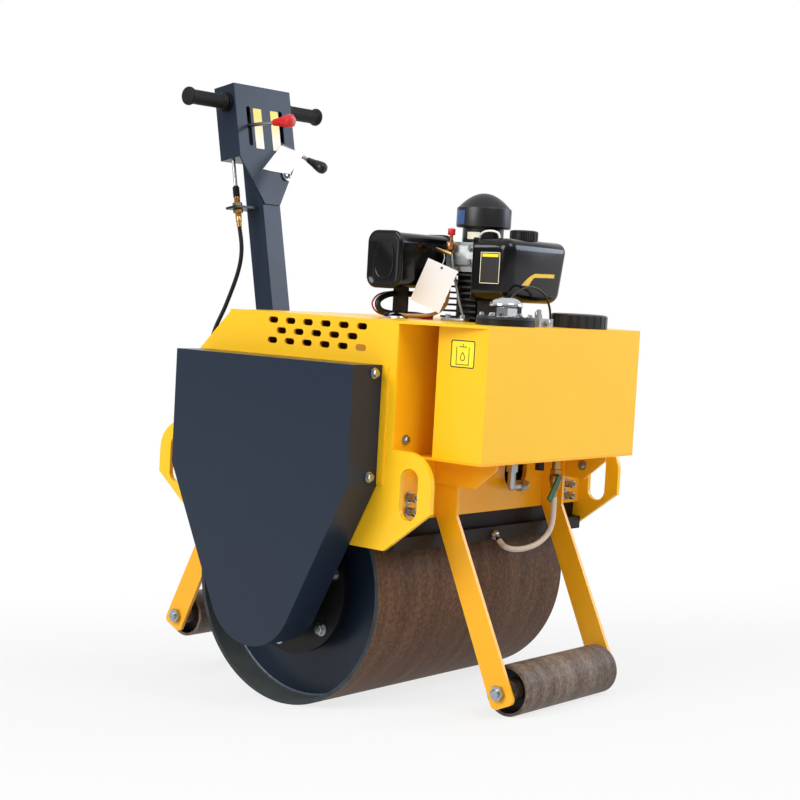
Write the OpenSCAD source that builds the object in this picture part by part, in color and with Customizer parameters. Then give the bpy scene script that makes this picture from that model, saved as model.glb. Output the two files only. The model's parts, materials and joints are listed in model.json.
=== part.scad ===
// Walk-behind vibratory road roller with one wide drum, two guide rollers and a folding handle.
// X points forward, Y to the operator's left and Z up; the origin lies on the ground mid-length.

/* [Drum] */
// Outside diameter of the drum
drum_d = 466; // [300:1:700]
// Width of the drum
drum_w = 600; // [400:1:900]
// Wall of the drum shell
drum_wall = 8; // [5:0.5:20]
// Bulkhead face below the end of the drum
bulkhead_in = 60; // [40:1:150]
// Thickness of each bulkhead
bulkhead_t = 10; // [4:0.5:25]
// Diameter of the hub flange
hub_d = 272; // [200:1:340]
// Thickness of the hub flange
hub_t = 12; // [6:0.5:30]
// Hub flange face below the end of the drum
hub_in = 16; // [4:1:30]
// Diameter of the hub behind its flange
hub_core_d = 170; // [80:1:190]
// Diameter of the turning stub shaft
shaft_d = 50; // [25:1:80]
// Running clearance of shafts on the radius
run_clear = 0.05; // [0.01:0.01:0.1]
// Gap beside fixed seated round pieces
seat_gap = 0.3; // [0.1:0.05:0.5]
// Distance of the drum axle ahead of the origin
axle_x = 13; // [-200:1:300]

/* [Side frame] */
// Gap between drum end and side plate
drum_gap = 6; // [5:0.5:20]
// Thickness of the side plates
plate_t = 10; // [5:0.5:20]
// Gap between the drum and the floor plate
floor_gap = 44; // [20:1:80]
// Reach of the tie-down ears beyond the cross plates
ear_reach = 95; // [60:1:150]
// Radius of the upper ear corner
ear_r = 60; // [10:1:90]
// Depth of the ears at their edge
ear_depth = 107; // [90:1:130]
// Lower edge of the side plates inside the cross plates
under_in = 8; // [0:1:60]
// Height of the side plates
plate_h = 186; // [150:1:210]
// Reach of the tie-down slots beyond the cross plates
slot_reach = 44; // [35:1:60]
// Width of the tie-down slot
slot_w = 41; // [20:1:60]
// Height of the tie-down slot
slot_h = 95; // [50:1:120]
// Middle of the tie-down slots below the plate top
slot_drop = 77; // [60:1:80]
// Half width of the hangers at their top
hanger_x = 150; // [100:1:200]
// Top of the hangers below the plate top
hanger_drop = 80; // [70:1:120]
// Thickness of the hangers that carry the drum
hanger_w = 10; // [6:0.5:15]
// Radius of the hangers around the axle
hanger_r = 85; // [70:1:100]
// Clear hole around the shaft in the hangers
hanger_hole_d = 64; // [60:1:90]
// Diameter of the bearing housing
bearing_d = 130; // [90:1:160]
// Depth of the bearing housing
bearing_t = 30; // [15:1:60]
// Thickness of the cross plates
cross_t = 10; // [5:0.5:20]
// Cross plate faces beyond the drum
cross_gap = 26; // [22:1:60]
// Height of the cross plates
cross_h = 133; // [110:1:150]
// Diameter of the pipe opening in the front cross plate
port_d = 77; // [40:1:85]
// Sideways middle of the pipe opening
port_y = 76; // [-60:1:100]
// Middle of the pipe opening below the plate top
port_drop = 57; // [50:1:65]
// Thickness of the floor under the engine
floor_t = 10; // [5:0.5:20]

/* [Hood] */
// Thickness of the hood sheet
sheet_t = 5; // [2:0.5:10]
// Height of the hood
hood_h = 234; // [180:1:280]
// Length of the rear slope
slope_l = 93; // [50:1:130]
// Height of the rear slope
slope_h = 90; // [50:1:130]
// Length of a vent slot
vent_l = 25; // [12:1:40]
// Height of a vent slot
vent_h = 12; // [5:0.5:14]
// Spacing of vents in a row
vent_pitch = 45; // [30:1:60]
// Spacing of the rows of vents
vent_row = 19.5; // [15:0.5:30]
// Top row of vents below the deck
vent_drop = 15; // [13:1:40]
// Middle of the rows of vents from the axle
vent_x = 59; // [0:1:100]

/* [Drive covers] */
// Cover sides inside the drum rim
cover_in = 5; // [0:1:40]
// Top of the covers above the plate top
cover_rise = 152; // [100:1:200]
// Start of the taper below the plate top
cover_drop = 70; // [40:1:100]
// Radius of the cover around the axle
cover_r = 108; // [90:1:140]
// Reach of the covers beyond the side plates
cover_stand = 84; // [70:1:120]
// Depth of the cover's flange
cover_depth = 81; // [30:1:82]
// Thickness of the cover sheet
cover_t = 4; // [2:0.5:8]
// Thickness of the rails that carry the covers
rail_t = 5; // [3:0.5:10]
// Overlap of rails inside the covers
rail_lap = 30; // [10:1:50]
// Edge of the rail ahead of the cover
rail_edge = 14; // [5:1:20]
// Lower tips of the rails below the plate top
rail_drop = 65; // [30:1:70]

/* [Tank] */
// Depth of the tank
tank_l = 112; // [80:1:200]
// Width of the tank
tank_w = 510; // [300:1:600]
// Gap between hood and tank
tank_gap = 45; // [10:1:80]
// Underside of the tank below the plate top
tank_drop = 12; // [0:1:40]
// Thickness of the tank bracket plates
tray_t = 5; // [3:0.5:10]
// Gap between gussets and legs
gusset_gap = 2; // [1:0.5:10]
// Depth of the gussets
gusset_h = 51; // [30:1:70]
// Reach of the lower edge of the gussets
gusset_reach = 94; // [60:1:110]
// Gusset tips behind the front of the tank
gusset_tip_in = 16; // [4:1:40]
// Depth of the gusset tips
gusset_tip_h = 11; // [5:1:25]
// Diameter of the water cap
water_cap_d = 112; // [60:1:112]
// Height of the water cap
water_cap_h = 28; // [10:1:40]
// Water cap beside the breather
water_step = 137; // [85:1:150]
// Diameter of the oil flange
oil_flange_d = 110; // [60:1:112]
// Thickness of the oil flange
oil_flange_h = 11; // [5:1:20]
// Oil filler from the right end of the tank
oil_in = 125; // [60:1:160]
// Diameter of the oil cap
oil_cap_d = 62; // [40:1:90]
// Height of the oil cap's dome
oil_cap_h = 18; // [8:1:30]
// Diameter of the oil cap's neck
oil_neck_d = 38; // [20:1:60]
// Height of the oil cap's neck
oil_neck_h = 25; // [5:1:30]
// Width of the breather
breather_w = 46; // [20:1:60]
// Length of the breather
breather_l = 34; // [20:1:60]
// Height of the breather
breather_h = 16; // [8:1:30]
// Breather beside the oil filler
breather_step = 108; // [85:1:130]

/* [Pipes under the tank] */
// Diameter of the suction pipe
suction_d = 16; // [8:0.5:18]
// Suction pipe ahead of the cross plate
suction_out = 25; // [15:1:40]
// Sideways place of the suction pipe
suction_y = 28; // [0:1:45]
// Level part of the suction pipe below the tank bracket
suction_drop = 66; // [50:1:75]
// Sideways run of the suction pipe
suction_run = 50; // [35:1:60]
// Diameter of the nuts on the suction pipe
suction_nut_d = 25; // [20:1:32]
// Length of the nuts
suction_nut_l = 15; // [6:1:20]
// Upper nut below the tank bracket
suction_nut_drop = 22; // [5:1:30]
// Diameter of the drain plug
plug_d = 20; // [10:1:30]
// Height of the drain plug
plug_h = 27; // [8:1:35]
// Sideways place of the drain plug
plug_y = 33; // [15:1:60]
// Diameter of the tap's pipe
tap_pipe_d = 16; // [10:1:30]
// Length of the tap's pipe
tap_pipe_h = 30; // [10:1:50]
// Diameter of the tap's body
tap_d = 24; // [18:1:40]
// Height of the tap's body
tap_h = 32; // [20:1:50]
// Sideways place of the tap
tap_y = 90; // [70:1:140]
// Tap behind the front of the tank
tap_in = 71; // [30:1:90]
// Length of the tap's hose tail
tail_h = 20; // [10:1:40]
// Diameter of the hose tails
tail_d = 7; // [4:0.5:12]
// Length of the tap's lever
tap_lever_l = 50; // [20:1:80]
// Swing of the tap's lever
tap_lever_a = 35; // [0:1:60]
// Width of the tap's lever
tap_lever_w = 14; // [8:1:20]
// Outside diameter of the water hose
hose_d = 11; // [6:0.5:20]

/* [Scrapers] */
// Reach of the scraper bars beyond the cross plates
scraper_reach = 9; // [0:1:30]
// Depth of the scraper bars
scraper_l = 40; // [20:1:50]
// Height of the scraper bars
scraper_h = 25; // [15:1:40]
// Top of the scraper bars below the cross plates
scraper_drop = 30; // [5:1:40]
// Thickness of the scraper's upright plate
upright_t = 6; // [3:0.5:10]
// Lap of the upright plate on the cross plate
upright_lap = 28; // [15:1:60]
// Length of the hose tail on the scraper bar
barb_l = 18; // [8:1:30]
// Downward slant of the hose tail on the scraper bar
barb_a = 40; // [0:1:60]

/* [Guide rollers] */
// Diameter of the guide rollers
roller_d = 95; // [70:1:140]
// Length of the guide rollers
roller_w = 302; // [200:1:500]
// Reach of the roller axles beyond the cross plates
roller_reach = 170; // [130:1:240]
// Height of the roller axles above the drum's lowest line
roller_z = 85; // [60:1:120]
// Wall of the roller tubes
roller_wall = 6; // [3:0.5:12]
// Recess of the roller end discs
disc_in = 24; // [4:1:30]
// Thickness of the roller end discs
disc_t = 8; // [4:1:20]
// Diameter of the roller hubs
roller_hub_d = 40; // [30:1:60]
// Diameter of the roller axles
axle_d = 20; // [12:1:30]
// Diameter of the axle heads
head_d = 30; // [26:1:50]
// Thickness of the axle heads
head_t = 9; // [4:1:15]
// Outer face of the legs from the middle plane
leg_y = 178; // [160:1:280]
// Thickness of the legs
leg_t = 8; // [5:0.5:15]
// Width of the legs
leg_w = 50; // [30:1:80]
// Bend in the legs above the foot of the cross plates
leg_bend_rise = 8; // [0:1:40]
// Gap between the legs and the tank bracket
leg_gap = 5; // [1:0.5:20]
// Corner radius of the leg's foot
foot_r = 12; // [5:1:20]
// Width of the leg's foot
foot_w = 52; // [40:1:80]
// Reach of the foot below the axle
foot_l = 28; // [22:1:40]
// Gap between roller hub and spacer
spacer_gap = 1; // [0.5:0.5:5]
// Diameter of the spacers on the roller axles
spacer_d = 30; // [24:1:50]

/* [Engine] */
// Rear face of the crankcase behind the front cross plate
case_back = 189; // [150:1:220]
// Length of the crankcase
case_l = 145; // [100:1:180]
// Width of the crankcase
case_w = 220; // [150:1:280]
// Sideways middle of the engine
engine_y = 30; // [-20:1:60]
// Gap between crankcase and deck
case_gap = 7; // [2:1:30]
// Fins ahead of the crankcase rear
fin_ahead = 54; // [30:1:58]
// Length of the fins
fin_l = 86; // [60:1:90]
// Width of the fins
fin_w = 110; // [80:1:150]
// Thickness of a fin
fin_t = 4; // [2:0.5:8]
// Spacing of the fins
fin_pitch = 12; // [8:0.5:20]
// Number of fins
fin_n = 8; // [4:1:9]
// Lowest fin above the deck
fin_rise = 6; // [2:1:30]
// Diameter of the cylinder barrel
barrel_d = 74; // [50:1:80]
// Height of the cylinder head
head_h = 58; // [40:1:80]
// Side of the head set in from the fins
head_in = 4; // [0:0.5:15]
// Gap between muffler and fins
muffler_gap = 7; // [4:1:20]
// Depth of the muffler
muffler_l = 86; // [50:1:86]
// Length of the muffler
muffler_w = 172; // [165:1:220]
// Height of the muffler
muffler_h = 113; // [70:1:130]
// Muffler above the deck
muffler_rise = 57; // [30:1:80]
// Outer end of the muffler from the engine middle
muffler_out = 180; // [150:1:220]
// Corner radius of the muffler
muffler_r = 22; // [8:1:40]
// Thickness of the muffler's end cap
muffler_cap_t = 8; // [4:1:20]
// Step from the muffler's cap to its body
muffler_step = 3; // [1:0.5:8]
// Diameter of the exhaust pipe to the muffler
exhaust_d = 30; // [20:1:40]
// Diameter of the air cleaner
cleaner_d = 109; // [100:1:160]
// Height of the air cleaner's drum
cleaner_h = 40; // [20:1:80]
// Air cleaner above the cylinder head
cleaner_rise = 30; // [15:1:60]
// Rise of the air cleaner's hat
hat_h = 29; // [10:1:45]
// Edge around the hat
hat_in = 3; // [2:1:20]
// Diameter of the air cleaner's foot
foot_d = 82; // [60:1:120]
// Air cleaner left of the barrel
cleaner_left = 7; // [0:1:15]
// Air cleaner ahead of the barrel
cleaner_ahead = 5; // [-10:1:20]
// Gap between fins and fuel tank
fuel_gap = 5; // [2:1:20]
// Depth of the fuel tank
fuel_l = 92; // [60:1:95]
// Right side of the fuel tank from the engine middle
fuel_right = 85; // [60:1:120]
// Width of the fuel tank
fuel_w = 206; // [120:1:240]
// Height of the fuel tank
fuel_h = 122; // [80:1:140]
// Fuel tank above the deck
fuel_rise = 43; // [20:1:70]
// Corner radius of the fuel tank
fuel_r = 18; // [6:1:30]
// Taper of the fuel tank's left side at the bottom
fuel_taper = 24; // [0:1:40]
// Diameter of the fuel cap
fuel_cap_d = 56; // [30:1:70]
// Height of the fuel cap
fuel_cap_h = 20; // [10:1:30]
// Fuel cap from the engine middle
fuel_cap_left = 22; // [0:1:50]
// Depth of the starter housing under the fuel tank
starter_l = 28; // [20:1:40]
// Diameter of the injector pipe
injector_d = 6; // [4:0.5:10]
// Clear border of the deck opening around the engine
well_gap = 8; // [5:1:20]
// Lower end of the fan housing above the floor
fan_low = 60; // [20:1:120]
// Exhaust pipe from the engine middle
exhaust_right = 36; // [20:1:45]
// Exhaust pipe above the foot of the head
exhaust_rise = 28; // [16:1:40]
// Thickness of the muffler's stay
stay_t = 5; // [3:0.5:10]
// Width of the muffler's stay
stay_w = 36; // [20:1:60]

/* [Handle] */
// Reach of the fold pin beyond the rear cross plate
pin_reach = 49; // [36:1:80]
// Fold pin below the plate top
pin_drop = 50; // [30:1:80]
// Diameter of the fold pin
pin_d = 20; // [12:1:30]
// Backward lean of the handle
lean = 11.3; // [5:0.1:20]
// Depth of the column
column_l = 50; // [35:1:60]
// Width of the column
column_w = 53; // [35:1:70]
// Wall of the column
column_wall = 4; // [2:0.5:8]
// Column below the pin
column_foot = 20; // [15:1:24]
// Gap between column and bracket cheeks
cheek_gap = 5; // [5:0.5:10]
// Thickness of the bracket cheeks
cheek_t = 8; // [5:0.5:15]
// Radius of the cheeks around the pin
cheek_r = 26; // [18:1:40]
// Height of the cheeks at their root
cheek_h = 80; // [50:1:110]
// Control box's upper edge above the pin
box_top = 771; // [620:1:900]
// Height of the control box
box_h = 160; // [130:1:220]
// Height of the front plate below the control box
neck_h = 99; // [70:1:130]
// Half width of the front plate's lower end
neck_x = 23; // [15:1:50]
// Half width of the control box
box_y = 87; // [70:1:120]
// Front face of the control box from the pin
box_x = 34; // [30:1:50]
// Depth of the control box
box_l = 60; // [50:1:80]
// Wall of the control box
box_wall = 4; // [1.5:0.5:6]
// Lever slots from the middle plane
lever_y = 50; // [30:1:60]
// Width of the lever slots
lever_slot_w = 12; // [8:1:20]
// Length of the lever slots
lever_slot_l = 87; // [40:1:105]
// Middle of the lever slots below the middle of the box
lever_slot_drop = 10.5; // [0:0.5:15]
// Handlebar below the top of the box
bar_drop = 37; // [20:1:50]
// Handlebar ahead of the pin
bar_x = 7; // [0:1:12]
// Diameter of the handlebar
bar_d = 24; // [18:1:32]
// Half length of the handlebar
bar_y = 197; // [150:1:300]
// Diameter of the grips
grip_d = 31; // [28:1:40]
// Diameter of the flared grip ends
grip_flare_d = 39; // [32:1:48]
// Half length over the grips
grip_y = 202; // [160:1:305]
// Length of the grips
grip_l = 105; // [60:1:105]
// Length of a grip flare
flare_l = 9; // [4:1:15]
// Diameter of the levers
lever_d = 8; // [5:0.5:14]
// Travel lever above the middle of its slot
travel_rise = 1.5; // [-20:0.5:20]
// Downward slant of the travel lever
travel_a = 8; // [0:1:20]
// Reach of the travel lever's stem
travel_l = 73; // [40:1:100]
// Length of the red knob
red_knob_l = 56; // [30:1:80]
// Diameter of the red knob's end
red_knob_d = 30; // [14:1:36]
// Diameter of the red knob's root
red_knob_root_d = 15; // [9:1:20]
// Throttle lever above the lower end of its slot
throttle_in = 11; // [9:0.5:30]
// Downward slant of the throttle lever
throttle_a = 34; // [10:1:40]
// Reach of the throttle lever's stem
throttle_l = 84; // [50:1:110]
// Length of the black knob
black_knob_l = 56; // [20:1:70]
// Diameter of the black knob
black_knob_d = 26; // [14:1:36]
// Diameter of the key hole
key_d = 20; // [12:1:26]
// Sideways place of the key hole
key_y = 50; // [30:1:52]
// Key hole below the control box
key_drop = 30; // [20:1:35]
// Cable tab below the front plate
tab_drop = 9; // [0:1:30]
// Reach of the cable tab
tab_y = 95; // [70:1:130]
// Cable's distance from the middle plane
cable_y = 75; // [60:1:110]
// Thickness of the cable tab
tab_t = 5; // [3:0.5:10]
// Depth of the cable tab
tab_l = 32; // [20:1:45]
// Diameter of the cable's threaded fitting
fitting_d = 14; // [8:1:24]
// Length of the threaded fitting
fitting_l = 66; // [40:1:90]
// Diameter of the fitting's nuts
fitting_nut_d = 22; // [17:1:36]
// Thickness of the fitting's nuts
fitting_nut_h = 9; // [4:1:14]
// Diameter of the control cable
cable_d = 9; // [5:0.5:16]
// Diameter of the cable's hole in the rear cross plate
cable_hole_d = 18; // [12:1:30]
// Diameter of the push rod over the cable
rod_d = 8; // [5:0.5:12]
// Diameter of the rubber boot on the push rod
boot_d = 16; // [12:1:30]
// Length of the rubber boot
boot_l = 24; // [10:1:30]
// Diameter of the handlebar collars
bar_collar_d = 42; // [26:1:50]
// Length of the handlebar collars
bar_collar_l = 8; // [3:1:15]
// Diameter of the fold pin's heads
pin_head_d = 32; // [24:1:45]
// Thickness of the fold pin's heads
pin_head_t = 6; // [3:0.5:12]

/* [Hidden] */
$fn = 64;
cut = 1;
tuck = 0.1;
yellow = "#f2b90f";
slate = "#3a4350";
black = "#1c1d20";
steel = "#a9adb0";
brass = "#b08d45";
rust = "#5a4036";
drum_r = drum_d / 2;
side_in = drum_w / 2 + drum_gap;
side_out = side_in + plate_t;
hanger_out = side_out + hanger_w;
cover_y = side_out + cover_stand;
cover_x = drum_r - cover_in;
cross_x = drum_r + cross_gap;
plate_top = drum_d + floor_gap + floor_t;
ear_x = cross_x + ear_reach;
ear_low = plate_top - ear_depth;
under_x = cross_x - under_in;
under_z = plate_top - plate_h;
slot_x = cross_x + slot_reach;
slot_z = plate_top - slot_drop;
hanger_z = plate_top - hanger_drop;
cross_low = plate_top - cross_h;
port_z = plate_top - port_drop;
deck_z = plate_top + hood_h;
slope_x = cross_x - slope_l;
slope_z = deck_z - slope_h;
vent_z = deck_z - vent_drop;
cover_top = plate_top + cover_rise;
cover_kink = plate_top - cover_drop;
rail_low = plate_top - rail_drop;
tank_x = cross_x + tank_gap + tank_l;
tank_low = plate_top - tank_drop;
tray_low = tank_low - tray_t;
gusset_low = tray_low - gusset_h;
gusset_x = cross_x + gusset_reach;
gusset_tip_x = tank_x - gusset_tip_in;
gusset_tip_z = tray_low - gusset_tip_h;
oil_y = oil_in - tank_w / 2;
breather_y = oil_y + breather_step;
water_cap_y = breather_y + water_step;
suction_z = tray_low - suction_drop;
tap_x = tank_x - tap_in;
scraper_x = cross_x + scraper_reach;
scraper_z = cross_low - scraper_drop;
upright_top = cross_low + upright_lap;
roller_x = cross_x + roller_reach;
leg_bend = cross_low + leg_bend_rise;
leg_top = tray_low - leg_gap;
pin_x = cross_x + pin_reach;
pin_z = plate_top - pin_drop;
roller_drop = drum_r - roller_z;
tilt = asin((drum_r - roller_d / 2) / norm([roller_x, roller_drop])) - atan2(roller_drop, roller_x);
slope_a = atan2(deck_z - slope_z, cross_x - slope_x);
deck_low = deck_z - sheet_t;
slope_top_x = slope_x + sheet_t / tan(slope_a);
case_x0 = cross_x - case_back;
case_x1 = case_x0 + case_l;
case_top = deck_low - case_gap;
fin_x0 = case_x0 + fin_ahead;
fin_z = deck_z + fin_rise;
barrel_top = fin_z + fin_n * fin_pitch - (fin_pitch - fin_t) / 2;
head_top = barrel_top + head_h;
cylinder_x = fin_x0 + fin_l / 2;
muffler_x0 = fin_x0 - muffler_gap - muffler_l;
muffler_z = deck_z + muffler_rise;
muffler_y = engine_y - muffler_out;
exhaust_y = engine_y - exhaust_right;
exhaust_z = barrel_top + exhaust_rise;
cleaner_z = head_top + cleaner_rise;
cleaner_x = cylinder_x + cleaner_ahead;
fuel_x0 = fin_x0 + fin_l + fuel_gap;
fuel_y0 = engine_y - fuel_right;
fuel_z = deck_z + fuel_rise;
fuel_cap_y = engine_y + fuel_cap_left;
cap_x = tank_x - tank_l / 2;
tap_low = tray_low - tap_pipe_h - tap_h;
barb_z = scraper_z - scraper_h / 2;
roller_hub_y = roller_w / 2;
box_low = box_top - box_h;
neck_low = box_low - neck_h;
tab_z = neck_low - tab_drop;
bar_z = box_top - bar_drop;
lever_slot_z = box_top - box_h / 2 - lever_slot_drop;
travel_z = lever_slot_z + travel_rise;
throttle_z = lever_slot_z - lever_slot_l / 2 + throttle_in;
column_x0 = box_x - box_wall - column_l;
fitting_low = tab_z - fitting_l * 0.6;
fitting_top = fitting_low + fitting_l;
bar_hole_d = bar_d + 2 * seat_gap;
axle_hole_d = axle_d + 2 * seat_gap;
cheek_y = column_w / 2 + cheek_gap;
gusset_y = leg_y + gusset_gap;

// Point just inside a circle about c, where a line from p runs into its rim
function touch(p, c, r, s) = let (q = r - tuck, d = p - c, a = atan2(d[1], d[0]) + s * acos(q / norm(d)))
  c + q * [cos(a), sin(a)];
// Smooth route through hand-placed points, k steps between each two
function knot(p, i) = p[max(0, min(len(p) - 1, i))];
function bend(a, b, c, d, t) = 0.5 * (2 * b + (c - a) * t + (2 * a - 5 * b + 4 * c - d) * t * t
  + (3 * b - a - 3 * c + d) * t * t * t);
function route(p, k) = [for (i = [0:len(p) - 2]) for (j = [0:k - 1])
  bend(knot(p, i - 1), p[i], p[i + 1], knot(p, i + 2), j / k), p[len(p) - 1]];
function unit(v) = v / norm(v);
function along(q, i) = unit(q[min(i + 1, len(q) - 1)] - q[max(i - 1, 0)]);
function ring(c, t, r, n, up) = let (u = unit(cross(t, up)), v = cross(u, t))
  [for (j = [0:n - 1]) c + r * (cos(360 * j / n) * u + sin(360 * j / n) * v)];
function lean_point(x, y, z) =
  [x * cos(lean) - z * sin(lean) - pin_x, y, pin_z + x * sin(lean) + z * cos(lean)];
hose_top = [tap_x, tap_y, tap_low - tail_h - seat_gap];
barb_way = [cos(barb_a), 0, -sin(barb_a)];
hose_end = [scraper_x, 0, barb_z] + (barb_l + seat_gap) * barb_way;
// A place on the hose, as shares of the way from its top to its end
function on_hose(x, y, z) = [hose_top[0] + x * (hose_end[0] - hose_top[0]),
  hose_top[1] + y * (hose_end[1] - hose_top[1]), hose_top[2] + z * (hose_end[2] - hose_top[2])];
hose_path = [hose_top, hose_top - [0, 0, hose_d], on_hose(0.01, 0, 0.51), on_hose(0.05, 0.08, 0.8),
  on_hose(0.15, 0.31, 1.02), on_hose(0.32, 0.61, 1.14), on_hose(0.52, 0.87, 1.17), on_hose(0.71, 1.01, 1.13),
  hose_end + hose_d * barb_way, hose_end];
cable_top = lean_point(0, -cable_y, fitting_low - seat_gap);
cable_end = [cross_t / 2 - cross_x, -cable_y * 1.5, pin_z + pin_d / 2];
// A place on the cable, as shares of the way from its top to its end
function on_cable(x, y, z) = [cable_top[0] + x * (cable_end[0] - cable_top[0]),
  cable_top[1] + y * (cable_end[1] - cable_top[1]), cable_top[2] + z * (cable_end[2] - cable_top[2])];
cable_path = [cable_top, lean_point(0, -cable_y, fitting_low - 5.5 * cable_d), on_cable(0.04, 0.11, 0.22),
  on_cable(-0.06, 0.56, 0.38), on_cable(-0.18, 0.88, 0.5), on_cable(-0.24, 0.99, 0.61),
  on_cable(-0.15, 1.04, 0.73), on_cable(0.16, 1.08, 0.83), on_cable(0.56, 1.03, 0.94),
  on_cable(0.82, 1, 0.99), cable_end];
// A place on the injector pipe, as shares of the fins' length and width and of the barrel's height
function on_injector(x, y, z) = [fin_x0 + x * fin_l, engine_y - y * fin_w, deck_z + z * (head_top - deck_z)];
injector_top = [fin_x0 + fin_l / 4, engine_y - fin_w / 2 + head_in - seat_gap, exhaust_z + injector_d * 2];
injector_end = [fin_x0 + fin_l * 0.9, engine_y - fin_w / 2 + well_gap * 2, case_top + seat_gap];
injector_path = [injector_top, injector_top - [0, injector_d, 0], on_injector(0.32, 0.6, 0.83),
  on_injector(0.49, 0.61, 0.52), on_injector(0.7, 0.61, 0.17), on_injector(0.79, 0.56, 0.05),
  injector_end + [0, 0, injector_d], injector_end];

// Places a piece drawn level on the machine as it rests, nose down on its front roller
module stand() translate([axle_x, 0, drum_r]) rotate([0, tilt, 0]) translate([0, 0, -drum_r]) children();
// Places a handle piece drawn upright from the fold pin
module lean_up() stand() translate([-pin_x, 0, pin_z]) rotate([0, -lean, 0]) children();
module both() { children(); mirror([0, 1, 0]) children(); }
module slab(y, t) translate([0, y + t, 0]) rotate([90, 0, 0]) linear_extrude(t) children();
module facing(x, t) translate([x, 0, 0]) rotate([90, 0, 90]) linear_extrude(t) children();
module across(x, y, z, l, d) translate([x, y, z]) rotate([-90, 0, 0]) cylinder(d = d, h = l);
module forward(x, y, z, l, d) translate([x, y, z]) rotate([0, 90, 0]) cylinder(d = d, h = l);
module upright_slot(w, h) {
  square([w, h - w], center = true);
  for (s = [-1, 1]) translate([0, s * (h - w) / 2]) circle(d = w);
}
module level_slot(l, h) rotate(90) upright_slot(h, l);
module rounded(l, h, r) {
  translate([r, 0]) square([l - 2 * r, h]);
  translate([0, r]) square([l, h - 2 * r]);
  for (x = [r, l - r], z = [r, h - r]) translate([x, z]) circle(r = r);
}
module tube(p, d, n, up) {
  m = len(p);
  polyhedron(points = [for (i = [0:m - 1]) each ring(p[i], along(p, i), d / 2, n, up)],
    faces = concat([[for (j = [0:n - 1]) j]], [[for (j = [n - 1:-1:0]) (m - 1) * n + j]],
      [for (i = [0:m - 2]) for (j = [0:n - 1])
        [i * n + j, (i + 1) * n + j, (i + 1) * n + (j + 1) % n, i * n + (j + 1) % n]]));
}

module side_profile() difference() {
  union() {
    polygon([[ear_x, plate_top - ear_r], [ear_x - ear_r, plate_top], [ear_r - ear_x, plate_top],
      [-ear_x, plate_top - ear_r], [-ear_x, ear_low], [-under_x, under_z], [under_x, under_z],
      [ear_x, ear_low]]);
    for (s = [-1, 1]) translate([s * (ear_x - ear_r), plate_top - ear_r]) circle(r = ear_r);
  }
  for (s = [-1, 1]) translate([s * slot_x, slot_z]) upright_slot(slot_w, slot_h);
}
module side_plates() color(yellow) stand() both() slab(side_in, plate_t) side_profile();
module hangers() color(black) stand() both() slab(side_out, hanger_w) difference() {
  c = [0, drum_r];
  union() {
    polygon([[-hanger_x, hanger_z], touch([-hanger_x, hanger_z], c, hanger_r, 1), c,
      touch([hanger_x, hanger_z], c, hanger_r, -1), [hanger_x, hanger_z]]);
    translate(c) circle(r = hanger_r);
  }
  translate(c) circle(d = hanger_hole_d);
}

module cross_plate() translate([cross_x - cross_t, -side_in, cross_low])
  cube([cross_t, 2 * side_in, plate_top - cross_low]);
module cross_plates() color(yellow) stand() difference() {
  e = cable_path[len(cable_path) - 1];
  union() { cross_plate(); mirror([1, 0, 0]) cross_plate(); }
  forward(cross_x - cross_t - cut, port_y, port_z, cross_t + 2 * cut, port_d);
  forward(-cross_x - cut, e[1], e[2], cross_t + 2 * cut, cable_hole_d);
}
module floor_plate() color(yellow) stand() translate([cross_t - cross_x, -side_in, plate_top - floor_t])
  cube([2 * (cross_x - cross_t), 2 * side_in, floor_t]);
module bearings() color(black) stand() both() difference() {
  across(0, hanger_out, drum_r, bearing_t, bearing_d);
  across(0, hanger_out - cut, drum_r, bearing_t + 2 * cut, shaft_d + 2 * run_clear);
}

module vents(n) for (row = [0:2]) let (k = row == 0 ? n : n - 1)
  for (i = [0:k - 1]) translate([vent_x + (i - (k - 1) / 2 - (row == 2 ? 0.5 : 0)) * vent_pitch,
    vent_z - row * vent_row]) level_slot(vent_l, vent_h);
module hood_sides() color(yellow) stand() both() slab(side_out - sheet_t, sheet_t) difference() {
  polygon([[-cross_x, plate_top], [cross_x, plate_top], [cross_x, deck_low], [-slope_top_x, deck_low],
    [-cross_x, slope_z]]);
  vents(6);
}
module hood_ends() color(yellow) stand() {
  translate([cross_x - sheet_t, sheet_t - side_out, plate_top])
    cube([sheet_t, 2 * (side_out - sheet_t), deck_low - plate_top]);
  slab(sheet_t - side_out, 2 * (side_out - sheet_t)) polygon([[-cross_x, plate_top], [-cross_x, slope_z],
    [-slope_top_x, deck_low], [sheet_t / sin(slope_a) - slope_top_x, deck_low],
    [sheet_t - cross_x, slope_z + sheet_t * (sin(slope_a) - 1) / cos(slope_a)],
    [sheet_t - cross_x, plate_top]]);
}
module deck() color(yellow) stand() translate([0, 0, deck_low]) linear_extrude(sheet_t) difference() {
  polygon([[-slope_top_x, -side_out], [cross_x, -side_out], [tank_x, -tank_w / 2], [tank_x, tank_w / 2],
    [cross_x, side_out], [-slope_top_x, side_out]]);
  translate([fin_x0 - well_gap, engine_y - fin_w / 2 - well_gap])
    square([case_x1 + starter_l - fin_x0 + 2 * well_gap, fin_w + 2 * well_gap]);
}

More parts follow.
